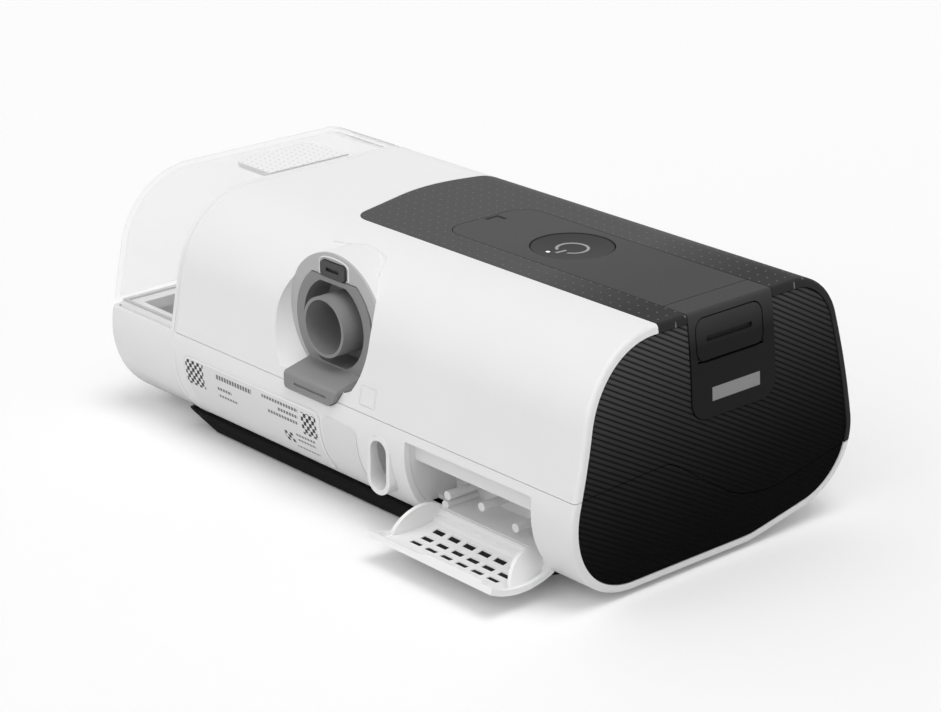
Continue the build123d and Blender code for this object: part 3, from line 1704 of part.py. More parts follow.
with BuildPart() as volute_upper:
    add(blower_shell)
    add(blower_void, mode=Mode.SUBTRACT)
    add(blower_split, mode=Mode.SUBTRACT)
    with BuildSketch(Plane.XY.offset(motor_floor_z)):
        with Locations(motor_middle):
            Circle(motor_can_radius)
    extrude(amount=blower_high_z - motor_floor_z)
    with BuildSketch(Plane.XY.offset(motor_floor_z + motor_floor_thickness)):
        with Locations(motor_middle):
            Circle(motor_can_radius - motor_can_wall)
    extrude(amount=blower_high_z - bearing_height - motor_floor_z - motor_floor_thickness, mode=Mode.SUBTRACT)
    with BuildSketch(Plane.XY.offset(motor_floor_z)):
        with Locations(motor_middle):
            Circle(bearing_radius)
    extrude(amount=blower_high_z - motor_floor_z, mode=Mode.SUBTRACT)
publish(volute_upper, "volute_upper")

with BuildPart() as bearings:
    for low_z in (motor_floor_z, blower_high_z - bearing_height):
        with BuildSketch(Plane.XY.offset(low_z)):
            with Locations(motor_middle):
                Circle(bearing_radius)
                Circle(shaft_radius + running_gap, mode=Mode.SUBTRACT)
        extrude(amount=bearing_height)
publish(bearings, "bearings")

with BuildPart() as motor_stator:
    with BuildSketch(Plane.XY.offset(motor_floor_z + motor_floor_thickness)):
        with Locations(motor_middle):
            Circle(motor_can_radius - motor_can_wall - slip_gap)
            Circle(stator_bore, mode=Mode.SUBTRACT)
    extrude(amount=stator_height)
publish(motor_stator, "motor_stator")

with BuildPart() as rotor_shaft:
    with BuildSketch(Plane.XY.offset(shaft_low_z)):
        with Locations(motor_middle):
            Circle(shaft_radius)
    extrude(amount=blower_high_z - shaft_low_z)
    with BuildSketch(Plane.XY.offset(motor_floor_z + motor_floor_thickness + rotor_inset)):
        with Locations(motor_middle):
            Circle(stator_bore - air_gap)
    extrude(amount=stator_height - 2 * rotor_inset)
publish(rotor_shaft, "rotor_shaft")

blade_middle = (impeller_hub_radius + impeller_radius) / 2
with BuildPart() as impeller:
    with BuildSketch(Plane.XY.offset(impeller_low_z)):
        with Locations(motor_middle):
            Circle(impeller_radius)
    extrude(amount=impeller_plate)
    with BuildSketch(Plane.XY.offset(impeller_low_z)):
        with Locations(motor_middle):
            Circle(impeller_hub_radius)
    extrude(amount=impeller_plate + blade_height)
    with BuildSketch(Plane.XY.offset(impeller_low_z + impeller_plate)):
        with Locations(motor_middle):
            with PolarLocations(blade_middle, impeller_blades):
                Rectangle(
                    impeller_radius - impeller_hub_radius, blade_thickness, rotation=blade_sweep
                )
            Circle(impeller_radius, mode=Mode.INTERSECT)
    extrude(amount=blade_height)
    with BuildSketch(Plane.XY.offset(impeller_low_z)):
        with Locations(motor_middle):
            Circle(shaft_radius)
    extrude(amount=impeller_plate + blade_height, mode=Mode.SUBTRACT)
publish(impeller, "impeller")

with BuildPart() as blower_mount:
    with BuildSketch(Plane.XY.offset(chassis_top_z)):
        with Locations(motor_middle):
            with PolarLocations(blower_radius - 2 * mount_pad_radius, mount_pads):
                Circle(mount_pad_radius)
    extrude(amount=blower_low_z - chassis_top_z)
publish(blower_mount, "blower_mount")

with BuildPart() as blower_duct:
    with BuildSketch(Plane.YZ.offset(bay_back_x + seat_gap)):
        with Locations((port_in_y, port_in_z)):
            Circle(duct_radius)
            Circle(duct_bore_radius, mode=Mode.SUBTRACT)
    extrude(amount=blower_stub_x + spigot_length - bay_back_x - seat_gap)
publish(blower_duct, "blower_duct")
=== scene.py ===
import bpy
import math
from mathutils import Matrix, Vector


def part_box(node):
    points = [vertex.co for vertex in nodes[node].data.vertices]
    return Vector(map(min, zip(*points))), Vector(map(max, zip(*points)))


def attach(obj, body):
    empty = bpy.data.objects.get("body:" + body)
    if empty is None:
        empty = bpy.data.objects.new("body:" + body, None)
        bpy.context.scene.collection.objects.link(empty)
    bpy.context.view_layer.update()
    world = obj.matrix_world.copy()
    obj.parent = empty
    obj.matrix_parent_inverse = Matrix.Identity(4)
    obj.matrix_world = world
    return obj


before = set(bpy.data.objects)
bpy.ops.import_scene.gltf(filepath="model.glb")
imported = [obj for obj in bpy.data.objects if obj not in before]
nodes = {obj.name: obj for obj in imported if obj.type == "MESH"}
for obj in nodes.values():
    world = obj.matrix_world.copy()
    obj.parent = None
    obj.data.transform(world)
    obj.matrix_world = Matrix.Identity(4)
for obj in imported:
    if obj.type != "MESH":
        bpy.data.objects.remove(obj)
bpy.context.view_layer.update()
mm = 0.001
fineBump = 0.2 * mm
print("machine loaded,", len(nodes), "nodes")


# Shader sockets that add, multiply and compare as numbers do.
class Wire:
    def __init__(self, tree, socket):
        self.tree, self.socket = tree, socket

    def math(self, operation, *others, clamp=False):
        settings = {"operation": operation, "use_clamp": clamp}
        node = addNode(self.tree, "ShaderNodeMath", settings, dict(enumerate((self, *others))))
        return Wire(self.tree, node.outputs[0])

    def __add__(self, other):
        return self.math("ADD", other)

    def __radd__(self, other):
        return self.math("ADD", other)

    def __sub__(self, other):
        return self.math("SUBTRACT", other)

    def __rsub__(self, other):
        return (self * -1) + other

    def __mul__(self, other):
        return self.math("MULTIPLY", other)

    def __rmul__(self, other):
        return self.math("MULTIPLY", other)

    def __truediv__(self, other):
        return self.math("DIVIDE", other)

    def __lt__(self, other):
        return self.math("LESS_THAN", other)

    def __gt__(self, other):
        return self.math("GREATER_THAN", other)

    def __abs__(self):
        return self.math("ABSOLUTE")

    def most(self, other):
        return self.math("MAXIMUM", other)

    def power(self, other):
        return self.math("POWER", other)

    def root(self):
        return self.math("SQRT")

    # Distance from the nearest multiple of the pitch.
    def wrap(self, pitch):
        return self.math("PINGPONG", pitch / 2)

    def modulo(self, pitch):
        return self.math("FLOORED_MODULO", pitch)

    # 0 up to the low value, 1 from the high value on.
    def ramp(self, low, high):
        return ((self - low) / (high - low)).math("ADD", 0.0, clamp=True)


# A link from a wire, or a number or an opaque colour set on the socket.
def join(tree, socket, value):
    if isinstance(value, Wire):
        tree.links.new(value.socket, socket)
    elif isinstance(value, tuple):
        socket.default_value = (*value, 1.0)
    else:
        socket.default_value = value


# Any node: its type, its settings, and the values or links of its sockets.
def addNode(tree, kind, settings, values):
    node = tree.nodes.new(kind)
    for key, value in settings.items():
        setattr(node, key, value)
    for key, value in values.items():
        join(tree, node.inputs[key], value)
    return node


def grey(tone):
    return (tone, tone, tone)


# Places of a Mix node's colour sockets.
mixPlaces = {"mask": 0, "first": 6, "second": 7, "result": 2}


# One finish: a shader with its fixed sockets set directly, and the position in millimetres.
class Finish:
    def __init__(self, name, **fixed):
        self.material = bpy.data.materials.new(name)
        self.material.use_nodes = True
        self.tree = self.material.node_tree
        self.shader = self.tree.nodes["Principled BSDF"]
        for socket, value in fixed.items():
            self.set(socket, value)
        spot = Wire(self.tree, self.add("ShaderNodeTexCoord").outputs["Object"])
        scaled = self.add("ShaderNodeVectorMath", {"operation": "SCALE"}, {0: spot, "Scale": 1 / mm})
        self.spot = Wire(self.tree, scaled.outputs[0])
        split = self.add("ShaderNodeSeparateXYZ", {}, {0: self.spot})
        self.x, self.y, self.z = (Wire(self.tree, out) for out in split.outputs)

    def set(self, socket, value):
        join(self.tree, self.shader.inputs[socket.replace("_", " ")], value)

    def add(self, kind, settings=None, values=None):
        return addNode(self.tree, kind, settings or {}, values or {})

    def noise(self, scale, detail):
        values = {"Vector": self.spot, "Scale": scale, "Detail": detail}
        return Wire(self.tree, self.add("ShaderNodeTexNoise", {}, values).outputs[0])

    def blend(self, mask, first, second):
        values = {mixPlaces["mask"]: mask, mixPlaces["first"]: first, mixPlaces["second"]: second}
        node = self.add("ShaderNodeMix", {"data_type": "RGBA"}, values)
        return Wire(self.tree, node.outputs[mixPlaces["result"]])

    # A grey that runs from the first tone to the second.
    def shade(self, mask, tones):
        return self.blend(mask, grey(tones[0]), grey(tones[1]))

    # A fine grain that varies the roughness, and is given back for the colour and the bump.
    def grain(self, look):
        speck = self.noise(*look["grain"])
        smooth, spread = look["rough"]
        self.set("Roughness", smooth + speck * spread)
        return speck

    # 0 where the surface faces the eye, 1 along its outline.
    def outline(self):
        node = self.add("ShaderNodeLayerWeight", {}, {"Blend": 0.5})
        return Wire(self.tree, node.outputs["Facing"])

    def bump(self, height, distance=fineBump, strength=1.0):
        values = {"Height": height, "Distance": distance, "Strength": strength}
        self.set("Normal", Wire(self.tree, self.add("ShaderNodeBump", {}, values).outputs[0]))

    # 1 inside a rounded box on two axes, 0 outside, with a soft edge.
    def box(self, a, b, edges, soft, corner=0.0):
        lowA, highA, lowB, highB = edges
        corner = max(corner, soft / 2)
        halfA, halfB = (highA - lowA) / 2 - corner, (highB - lowB) / 2 - corner
        offA = (abs(a - (lowA + highA) / 2) - halfA).most(0.0)
        offB = (abs(b - (lowB + highB) / 2) - halfB).most(0.0)
        return 1 - ((offA * offA + offB * offB).root() - corner).ramp(-soft / 2, soft / 2)

    # The line between a rounded box and a smaller one inside it.
    def ring(self, a, b, edges, line, soft, corners):
        lowA, highA, lowB, highB = edges
        inside = (lowA + line, highA - line, lowB + line, highB - line)
        return self.box(a, b, edges, soft, corners[0]) - self.box(a, b, inside, soft, corners[1])

    # 1 in round dots, each row a little to the side of the last.
    def dots(self, look):
        row = (self.y / look["pitchY"]).math("ROUND")
        offX = (self.x + row * look["slip"]).wrap(look["pitchX"])
        offY = self.y - row * look["pitchY"]
        radius, blur = look["radius"], look["blur"]
        return 1 - (offX * offX + offY * offY).root().ramp(radius * (1 - blur), radius * (1 + blur))

    # A part by its name, or a new piece itself.
    def paint(self, *parts):
        for part in parts:
            piece = nodes[part] if isinstance(part, str) else part
            if not piece.material_slots:
                piece.data.materials.append(self.material)
            for slot in piece.material_slots:
                slot.material = self.material


# A plain moulding: its tone, its roughness and a fine bump follow one grain.
def moulding(name, look, *parts):
    finish = Finish(name, Specular_IOR_Level=look["gloss"])
    speck = finish.grain(look)
    finish.set("Base Color", finish.shade(speck, look["tones"]))
    if "bump" in look:
        finish.bump(speck * look["bump"])
    finish.paint(*parts)


# Moulded white of the housings: fine satin grain, with a shallow outline embossed beside the outlet.
shell = {"tones": (0.845, 0.875), "cloud": (0.03, 2.0), "grain": (1.6, 2.0), "gloss": 0.4,
         "rough": (0.36, 0.08), "bump": 0.02, "outline": (20.3, 28.9, 46.0, 53.5), "line": 0.7, "soft": 0.2,
         "corners": (0.9, 0.5), "nearSide": -40.0, "emboss": 0.6, "depth": 0.3}


def whiteShell():
    finish = Finish("whiteShell", Specular_IOR_Level=shell["gloss"])
    speck = finish.grain(shell)
    finish.set("Base Color", finish.shade(finish.noise(*shell["cloud"]), shell["tones"]))
    ring = finish.ring(finish.x, finish.z, shell["outline"], shell["line"], shell["soft"], shell["corners"])
    ring = ring * (finish.y < shell["nearSide"])
    finish.bump(speck * shell["bump"] + ring * shell["emboss"], shell["depth"] * mm)
    finish.paint("upper_housing", "lower_housing")
    return finish


# Dark panel: satin grey with a field of fine pale dots on its top, and painted shade that darkens it toward
# the ribbed end.
panel = {"tones": (0.072, 0.084), "farShadeTones": (0.022, 0.028), "shadeFadeX": (62.0, 112.0), "grain": (2.4, 3.0),
         "gloss": 0.09, "rough": (0.56, 0.12), "bump": 0.05, "topFrom": 88.0, "dot": 0.16, "dotRise": 0.25,
         "pitchX": 4.4, "pitchY": 4.8, "slip": 0.75, "radius": 0.34, "blur": 0.3}


def darkPanel():
    finish = Finish("darkPanel", Specular_IOR_Level=panel["gloss"])
    speck = finish.grain(panel)
    dots = finish.dots(panel) * (finish.z > panel["topFrom"])
    near, far = finish.shade(speck, panel["tones"]), finish.shade(speck, panel["farShadeTones"])
    # Painted shade: the tone falls to the far tones toward the ribbed end.
    base = finish.blend(finish.x.ramp(*panel["shadeFadeX"]), near, far)
    finish.set("Base Color", finish.blend(dots, base, grey(panel["dot"])))
    finish.bump(speck * panel["bump"] + dots * panel["dotRise"])
    finish.paint("top_panel")


# Smooth control strip and its end tab, with the small corner mark and the plain bar. Painted shade darkens
# the strip toward the end and toward its foot, and fills the notched mark.
strip = {"topTones": (0.066, 0.05), "shadeFadeX": (30.0, 95.0), "foot": 0.009, "shadeFadeZ": (82.0, 94.0),
         "grain": (1.2, 2.0), "gloss": 0.09, "rough": (0.5, 0.08), "bump": 0.03, "soft": 0.12, "corner": 0.1,
         "mark": (5.0, 10.4, 5.8, 12.4), "markLine": 1.7, "markShadeTone": 0.004, "markDepth": 0.3,
         "topFrom": 88.0, "bar": (-3.9, 19.3, 62.6, 67.4), "barTone": 0.28, "endFrom": 116.0}


def smoothStrip():
    finish = Finish("smoothStrip", Specular_IOR_Level=strip["gloss"])
    speck = finish.grain(strip)
    lowX, highX, lowY, highY = strip["mark"]
    line, rounding = strip["markLine"], (strip["soft"], strip["corner"])
    arm = finish.box(finish.x, finish.y, (lowX, lowX + line, lowY, highY), *rounding)
    foot = finish.box(finish.x, finish.y, (lowX, highX, highY - line, highY), *rounding)
    mark = arm.most(foot) * (finish.z > strip["topFrom"])
    bar = finish.box(finish.y, finish.z, strip["bar"], *rounding) * (finish.x > strip["endFrom"])
    # Painted shade: the top darkens toward the end, and the side darkens toward its foot.
    top = finish.shade(finish.x.ramp(*strip["shadeFadeX"]), strip["topTones"])
    base = finish.blend(finish.z.ramp(*strip["shadeFadeZ"]), grey(strip["foot"]), top)
    # The notched corner mark is filled with painted shade.
    marked = finish.blend(mark, base, grey(strip["markShadeTone"]))
    finish.set("Base Color", finish.blend(bar, marked, grey(strip["barTone"])))
    finish.bump(speck * strip["bump"] - mark * strip["markDepth"])
    finish.paint("control_strip", "end_tab", "card_cover")


# Ribbed end: fine ribs that fall toward the far side, with painted shade in their grooves and painted shade
# that darkens them toward the base.
ribs = {"pitch": 1.8, "fall": 28.2, "tones": (0.0018, 0.086), "grooveShade": 0.001, "shape": 2.2, "depth": 0.4,
        "strength": 0.7, "lean": 0.15, "height": 92.0, "steepness": 2.6, "grain": (3.0, 2.0), "gloss": 0.02,
        "rough": (0.5, 0.12)}


def ribbedEnd():
    finish = Finish("ribbedEnd", Specular_IOR_Level=ribs["gloss"])
    finish.grain(ribs)
    angle = math.radians(ribs["fall"])
    across = finish.z * math.cos(angle) + finish.y * math.sin(angle)
    phase = across.modulo(ribs["pitch"]) / ribs["pitch"]
    tooth = 1 - abs(phase * 2 - 1).power(ribs["shape"])
    shadeByHeight = (finish.z - finish.y * ribs["lean"]).ramp(0.0, ribs["height"]).power(ribs["steepness"])
    # Painted shade: near black in the grooves, and darker toward the base.
    finish.set("Base Color", finish.blend(tooth, grey(ribs["grooveShade"]), finish.shade(shadeByHeight, ribs["tones"])))
    finish.bump(tooth, ribs["depth"] * mm, ribs["strength"])
    finish.paint("end_panel_upper", "end_panel_lower")


# Start button with its printed symbol and its status light.
button = {"tones": (0.032, 0.038), "grain": (1.8, 2.0), "gloss": 0.09, "rough": (0.5, 0.08), "bump": 0.03}
symbol = {"tones": (0.26, 0.32), "grain": (1.0, 1.0), "roughness": 0.4}
light = {"tones": (0.86, 0.9), "grain": (1.0, 1.0), "roughness": 0.3, "glow": 0.6}


def startButton():
    moulding("buttonFace", button, "start_button")
    sign = Finish("symbolPrint", Roughness=symbol["roughness"])
    sign.set("Base Color", sign.shade(sign.noise(*symbol["grain"]), symbol["tones"]))
    sign.paint("button_symbol")
    lamp = Finish("statusLight", Roughness=light["roughness"], Emission_Strength=light["glow"])
    lamp.set("Base Color", lamp.shade(lamp.noise(*light["grain"]), light["tones"]))
    lamp.set("Emission Color", grey(1.0))
    lamp.paint("button_light")


# Outlet: pale face plate, mid-grey soft-touch connector and dark clip.
facePlate = {"tones": (0.49, 0.53), "grain": (1.6, 2.0), "gloss": 0.4, "rough": (0.42, 0.08), "bump": 0.02}
connector = {"tones": (0.255, 0.28), "grain": (2.0, 3.0), "gloss": 0.25, "rough": (0.44, 0.12), "bump": 0.04}
clip = {"tones": (0.05, 0.06), "grain": (2.0, 2.0), "gloss": 0.4, "rough": (0.42, 0.1)}


def outletParts():
    moulding("facePlate", facePlate, "outlet_plate")
    moulding("connectorGrey", connector, "outlet_connector")
    moulding("clipGrey", clip, "outlet_clip")


# White inner mouldings: the door, the chamber, the inlet with its socket, and the frame in the tub. The
# door's white is set paler than the rest as painted light.
inner = {"middle": {"filter_door": 0.93, "filter_chamber": 0.84, "inlet_bezel": 0.88, "tub_frame": 0.88,
                    "power_socket": 0.6}, "darker": 0.02, "paler": 0.01,
         "grain": (1.5, 2.0), "gloss": 0.4, "rough": (0.38, 0.1), "bump": 0.02}


def whiteInner():
    for name, tone in inner["middle"].items():
        tones = (tone - inner["darker"], tone + inner["paler"])
        moulding(name + "White", {**inner, "tones": tones}, name)


# Label film: rows of plain grey dashes and even chequered blocks stand for the print, inside a raised rim
# with a painted highlight.
label = {"rows": ((-61.3, -39.6, 32.4, 34.2), (-60.8, -52.4, 28.0, 29.2), (-60.8, -50.0, 25.0, 26.0),
                  (-33.3, -12.4, 33.4, 34.6), (-24.1, -12.6, 30.8, 32.0), (-30.7, -13.3, 28.2, 29.4),
                  (-16.5, -5.0, 22.8, 23.8), (-16.5, -6.0, 20.4, 21.4), (-19.0, -6.0, 16.8, 17.6)),
         "rowSoft": 0.15, "rowInk": 0.8, "dash": 1.6, "dashShare": 0.72,
         "blocks": ((-80.0, -69.0, 25.4, 35.4), (-10.6, -2.2, 25.4, 34.4), (-23.6, -18.6, 18.6, 23.0)),
         "blockSoft": 0.1, "cell": 1.55, "ink": 0.02, "film": (0.78, 0.8), "grain": (1.5, 1.0), "gloss": 0.3,
         "rough": (0.42, 0.06), "edge": (-80.4, -0.6, 12.6, 36.4), "line": 0.5, "rimHighlightTone": 0.95,
         "lineSoft": 0.2, "corners": (3.0, 2.6), "strength": 0.4}


def labelFilm():
    finish = Finish("labelFilm", Specular_IOR_Level=label["gloss"])
    grain = finish.grain(label)
    x, z = finish.x, finish.z
    dashes = x.modulo(label["dash"]) < label["dash"] * label["dashShare"]
    ink = 0.0
    for row in label["rows"]:
        ink = (finish.box(x, z, row, label["rowSoft"]) * dashes * label["rowInk"]).most(ink)
    cell = label["cell"]
    chequer = abs((x.modulo(cell * 2) < cell) - (z.modulo(cell * 2) < cell))
    for block in label["blocks"]:
        ink = (finish.box(x, z, block, label["blockSoft"]) * chequer).most(ink)
    # The rim is raised by the bump, and its pale tone is a painted highlight.
    rim = finish.ring(x, z, label["edge"], label["line"], label["lineSoft"], label["corners"])
    film = finish.blend(rim, finish.shade(grain, label["film"]), grey(label["rimHighlightTone"]))
    finish.set("Base Color", finish.blend(ink, film, grey(label["ink"])))
    finish.bump(rim, strength=label["strength"])
    finish.paint("label_plate", "rating_plate")


# Clear water tub: see-through walls with painted grey shade along their outlines, and a dotted grip.
tub = {"tub_lid": {"tones": (0.86, 0.9), "edge": 0.34, "clear": 0.08, "solid": 0.7, "turn": (0.72, 0.93)},
       "tub_base": {"tones": (0.94, 0.98), "edge": 0.62, "clear": 0.88, "solid": 0.95, "turn": (0.74, 0.96)},
       "tub_seal": {"tones": (0.75, 0.79), "edge": 0.6, "clear": 0.5, "solid": 0.9, "turn": (0.4, 0.9)}}
clearWall = {"cloud": (0.05, 2.0), "roughness": 0.12, "gloss": 0.5}
grip = {"pitchX": 3.2, "pitchY": 3.2, "slip": 1.6, "radius": 0.32, "blur": 0.3, "tones": (0.9, 0.4),
        "grain": (1.5, 1.0), "gloss": 0.3, "rough": (0.42, 0.08), "strength": 0.4}


def clearTub():
    for name, look in tub.items():
        finish = Finish(name + "Clear", Roughness=clearWall["roughness"],
                        Specular_IOR_Level=clearWall["gloss"])
        rim = finish.outline().ramp(*look["turn"])
        base = finish.shade(finish.noise(*clearWall["cloud"]), look["tones"])
        # Painted shade: the walls turn grey along their outlines.
        finish.set("Base Color", finish.blend(rim, base, grey(look["edge"])))
        finish.set("Alpha", rim * (look["solid"] - look["clear"]) + look["clear"])
        finish.paint(name)
    frosted = Finish("frostedGrip", Specular_IOR_Level=grip["gloss"])
    frosted.grain(grip)
    dots = frosted.dots(grip)
    frosted.set("Base Color", frosted.shade(dots, grip["tones"]))
    frosted.bump(dots, strength=grip["strength"])
    frosted.paint("tub_grip")


# Dark underside and hidden working parts: each finish has its tone, its roughness and its parts.
plain = {"footBlack": (0.012, 0.5, ["base_foot", "socket_contacts"]),
         "rubberBlack": (0.02, 0.7, ["rubber_feet", "blower_mount", "bay_seals"]),
         "ductGrey": (0.3, 0.45, ["outlet_duct", "blower_duct", "bay_liner", "card_socket", "chassis",
                                  "inlet_foam"]),
         "volutePale": (0.6, 0.4, ["volute_lower", "volute_upper", "impeller"]),
         "partBlack": (0.03, 0.5, ["button_switch", "flow_sensor", "display_module", "motor_stator"])}
plainGrain = {"grain": (1.5, 3.0), "gloss": 0.4, "bump": 0.05}
bright = {"pinSteel": (0.62, 0.28, ["door_hinge_pins", "tub_hinge_pin", "board_screws", "chassis_screws",
                                    "rotor_shaft", "heater_springs", "bearings", "tub_plate"]),
          "heaterPlate": (0.7, 0.35, ["heater_plate"])}
brightGrain = (4.0, 3.0)
toneSpread, roughSpread = 0.1, 0.1


def plainParts():
    for name, (tone, roughness, parts) in plain.items():
        tones = (tone * (1 - toneSpread), tone * (1 + toneSpread))
        moulding(name, {**plainGrain, "tones": tones, "rough": (roughness, roughSpread)}, *parts)
    for name, (tone, roughness, parts) in bright.items():
        finish = Finish(name, Metallic=1.0)
        speck = finish.grain({"grain": brightGrain, "rough": (roughness, roughSpread)})
        finish.set("Base Color", finish.shade(speck, (tone * (1 - toneSpread), tone)))
        finish.paint(*parts)


# Circuit boards, and the touch glass on the far side.
board = {"dark": (0.01, 0.09, 0.03), "pale": (0.02, 0.14, 0.05), "grain": (0.8, 2.0), "gloss": 0.5,
         "rough": (0.35, 0.1)}
glass = {"tones": (0.008, 0.012), "coat": 0.6, "coatRoughness": 0.03, "grain": (0.06, 3.0),
         "rough": (0.06, 0.05)}


def boardsAndGlass():
    green = Finish("boardGreen", Specular_IOR_Level=board["gloss"])
    green.set("Base Color", green.blend(green.grain(board), board["dark"], board["pale"]))
    green.paint("main_board", "switch_board")
    touch = Finish("touchGlass", Coat_Weight=glass["coat"], Coat_Roughness=glass["coatRoughness"])
    touch.set("Base Color", touch.shade(touch.grain(glass), glass["tones"]))
    touch.paint("display_glass")


shellWhite = whiteShell()
darkPanel()
smoothStrip()
ribbedEnd()
startButton()
outletParts()
whiteInner()
labelFilm()
clearTub()
plainParts()
boardsAndGlass()
print("finishes done")


# New pieces are measured in millimetres, and their place ends up in their mesh.
def freshStart():
    if bpy.context.object and bpy.context.object.mode != "OBJECT":
        bpy.ops.object.mode_set(mode="OBJECT")
    bpy.ops.object.select_all(action="DESELECT")


def only(piece):
    freshStart()
    piece.select_set(True)
    bpy.context.view_layer.objects.active = piece


def place(piece, name, body):
    only(piece)
    bpy.ops.object.transform_apply(location=True, rotation=True, scale=True)
    piece.name = name
    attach(piece, body)


# Rounds the edges that are sharper than an angle, and shades the rest smooth.
def soften(piece, width, segments, sharper=30.0, smoothUnder=40.0):
    only(piece)
    rounding = piece.modifiers.new("rounding", "BEVEL")
    rounding.width, rounding.segments, rounding.limit_method = width * mm, segments, "ANGLE"
    rounding.angle_limit = math.radians(sharper)
    bpy.ops.object.modifier_apply(modifier=rounding.name)
    bpy.ops.object.shade_smooth_by_angle(angle=math.radians(smoothUnder))


# Painted shade in the door's grille: one dark rounded pad in each slot, on the door's curved plate, standing
# for the shade under the open door.
slotShade = {"columns": 6, "rows": 3, "pitchX": 7.8, "pitchZ": 4.8, "length": 5.16, "height": 2.36,
          "thickness": 0.35, "round": 0.12, "segments": 2, "middleX": 78.0, "middleZ": 22.4,
          "bendRadius": 32.3, "bendY": -35.25, "bendZ": 35.1, "hingeY": -56.067, "hingeZ": 12.4,
          "upright": 90.0, "openAngle": 70.7, "tones": (0.004, 0.012), "grain": (4.0, 2.0), "gloss": 0.2,
          "rough": (0.7, 0.2), "depth": 0.1, "strength": 0.5}


# A place on the closed door, turned about the hinge to where the open door has it.
def openPlace(y, z):
    turn = math.radians(slotShade["openAngle"])
    offY, offZ = y - slotShade["hingeY"], z - slotShade["hingeZ"]
    newY = slotShade["hingeY"] + offY * math.cos(turn) - offZ * math.sin(turn)
    newZ = slotShade["hingeZ"] + offY * math.sin(turn) + offZ * math.cos(turn)
    return newY, newZ


def grilleShadePads():
    freshStart()
    bpy.ops.mesh.primitive_cube_add(size=mm)
    pad = bpy.context.object
    bpy.ops.object.mode_set(mode="EDIT")
    bpy.ops.transform.resize(value=(slotShade["length"], slotShade["height"], slotShade["thickness"]))
    bpy.ops.object.mode_set(mode="OBJECT")
    soften(pad, slotShade["round"], slotShade["segments"])
    pads = []
    for row in range(slotShade["rows"]):
        z = slotShade["middleZ"] + (row - (slotShade["rows"] - 1) / 2) * slotShade["pitchZ"]
        lean = math.asin((slotShade["bendZ"] - z) / slotShade["bendRadius"])
        y = slotShade["bendY"] - slotShade["bendRadius"] * math.cos(lean)
        newY, newZ = openPlace(y, z)
        for column in range(slotShade["columns"]):
            x = slotShade["middleX"] + (column - (slotShade["columns"] - 1) / 2) * slotShade["pitchX"]
            only(pad)
            bpy.ops.object.duplicate()
            copy = bpy.context.object
            copy.location = (x * mm, newY * mm, newZ * mm)
            copy.rotation_euler = (math.radians(slotShade["openAngle"] + slotShade["upright"]) + lean, 0.0, 0.0)
            pads.append(copy)
    only(pads[0])
    for piece in pads:
        piece.select_set(True)
    bpy.ops.object.join()
    whole = bpy.context.object
    bpy.data.objects.remove(pad)
    place(whole, "grille_shade_pads", "door")
    # Near-black pads: painted shade seen through the slots.
    finish = Finish("slotShadeBlack", Specular_IOR_Level=slotShade["gloss"])
    padGrain = finish.grain(slotShade)
    finish.set("Base Color", finish.shade(padGrain, slotShade["tones"]))
    finish.bump(padGrain, slotShade["depth"] * mm, slotShade["strength"])
    finish.paint(whole)


# Black skirt round the base foot, with both ends sloping in toward the floor.
skirt = {"lowX": -98.5, "highX": 104.0, "lowY": -55.5, "highY": 50.0, "top": 7.0, "bottom": 0.5,
         "slope": 17.0, "inward": 1.5, "round": 1.2, "segments": 3, "sharper": 5.0, "facesDown": -0.9,
         "tones": (0.004, 0.008), "grain": (2.0, 2.0), "gloss": 0.1, "rough": (0.6, 0.1), "bump": 0.03}


def footSkirt():
    lowX, highX, lowY, highY = (skirt[side] for side in ("lowX", "highX", "lowY", "highY"))
    top, bottom = skirt["top"], skirt["bottom"]
    middle = ((lowX + highX) / 2 * mm, (lowY + highY) / 2 * mm, (bottom + top) / 2 * mm)
    size = (highX - lowX, highY - lowY, top - bottom)
    freshStart()
    bpy.ops.mesh.primitive_cube_add(size=mm, location=middle, scale=size)
    whole = bpy.context.object
    bpy.ops.object.transform_apply(location=True, rotation=False, scale=True)
    bpy.ops.object.mode_set(mode="EDIT")
    bpy.ops.mesh.select_mode(type="FACE")
    bpy.ops.mesh.select_all(action="DESELECT")
    bpy.ops.object.mode_set(mode="OBJECT")
    for face in whole.data.polygons:
        face.select = face.normal.z < skirt["facesDown"]
    bpy.ops.object.mode_set(mode="EDIT")
    narrow = (1 - 2 * skirt["slope"] / (highX - lowX), 1 - 2 * skirt["inward"] / (highY - lowY), 1.0)
    bpy.ops.transform.resize(value=narrow)
    bpy.ops.object.mode_set(mode="OBJECT")
    soften(whole, skirt["round"], skirt["segments"], skirt["sharper"])
    place(whole, "foot_skirt", "housing")
    moulding("skirtBlack", skirt, whole)


# Bright raised edge where the housing meets the tub: a slice of each housing, a little fatter than it.
bead = {"width": 1.1, "proud": 0.22, "round": 0.16, "segments": 2, "weld": 0.01, "flatUnder": 1.0}


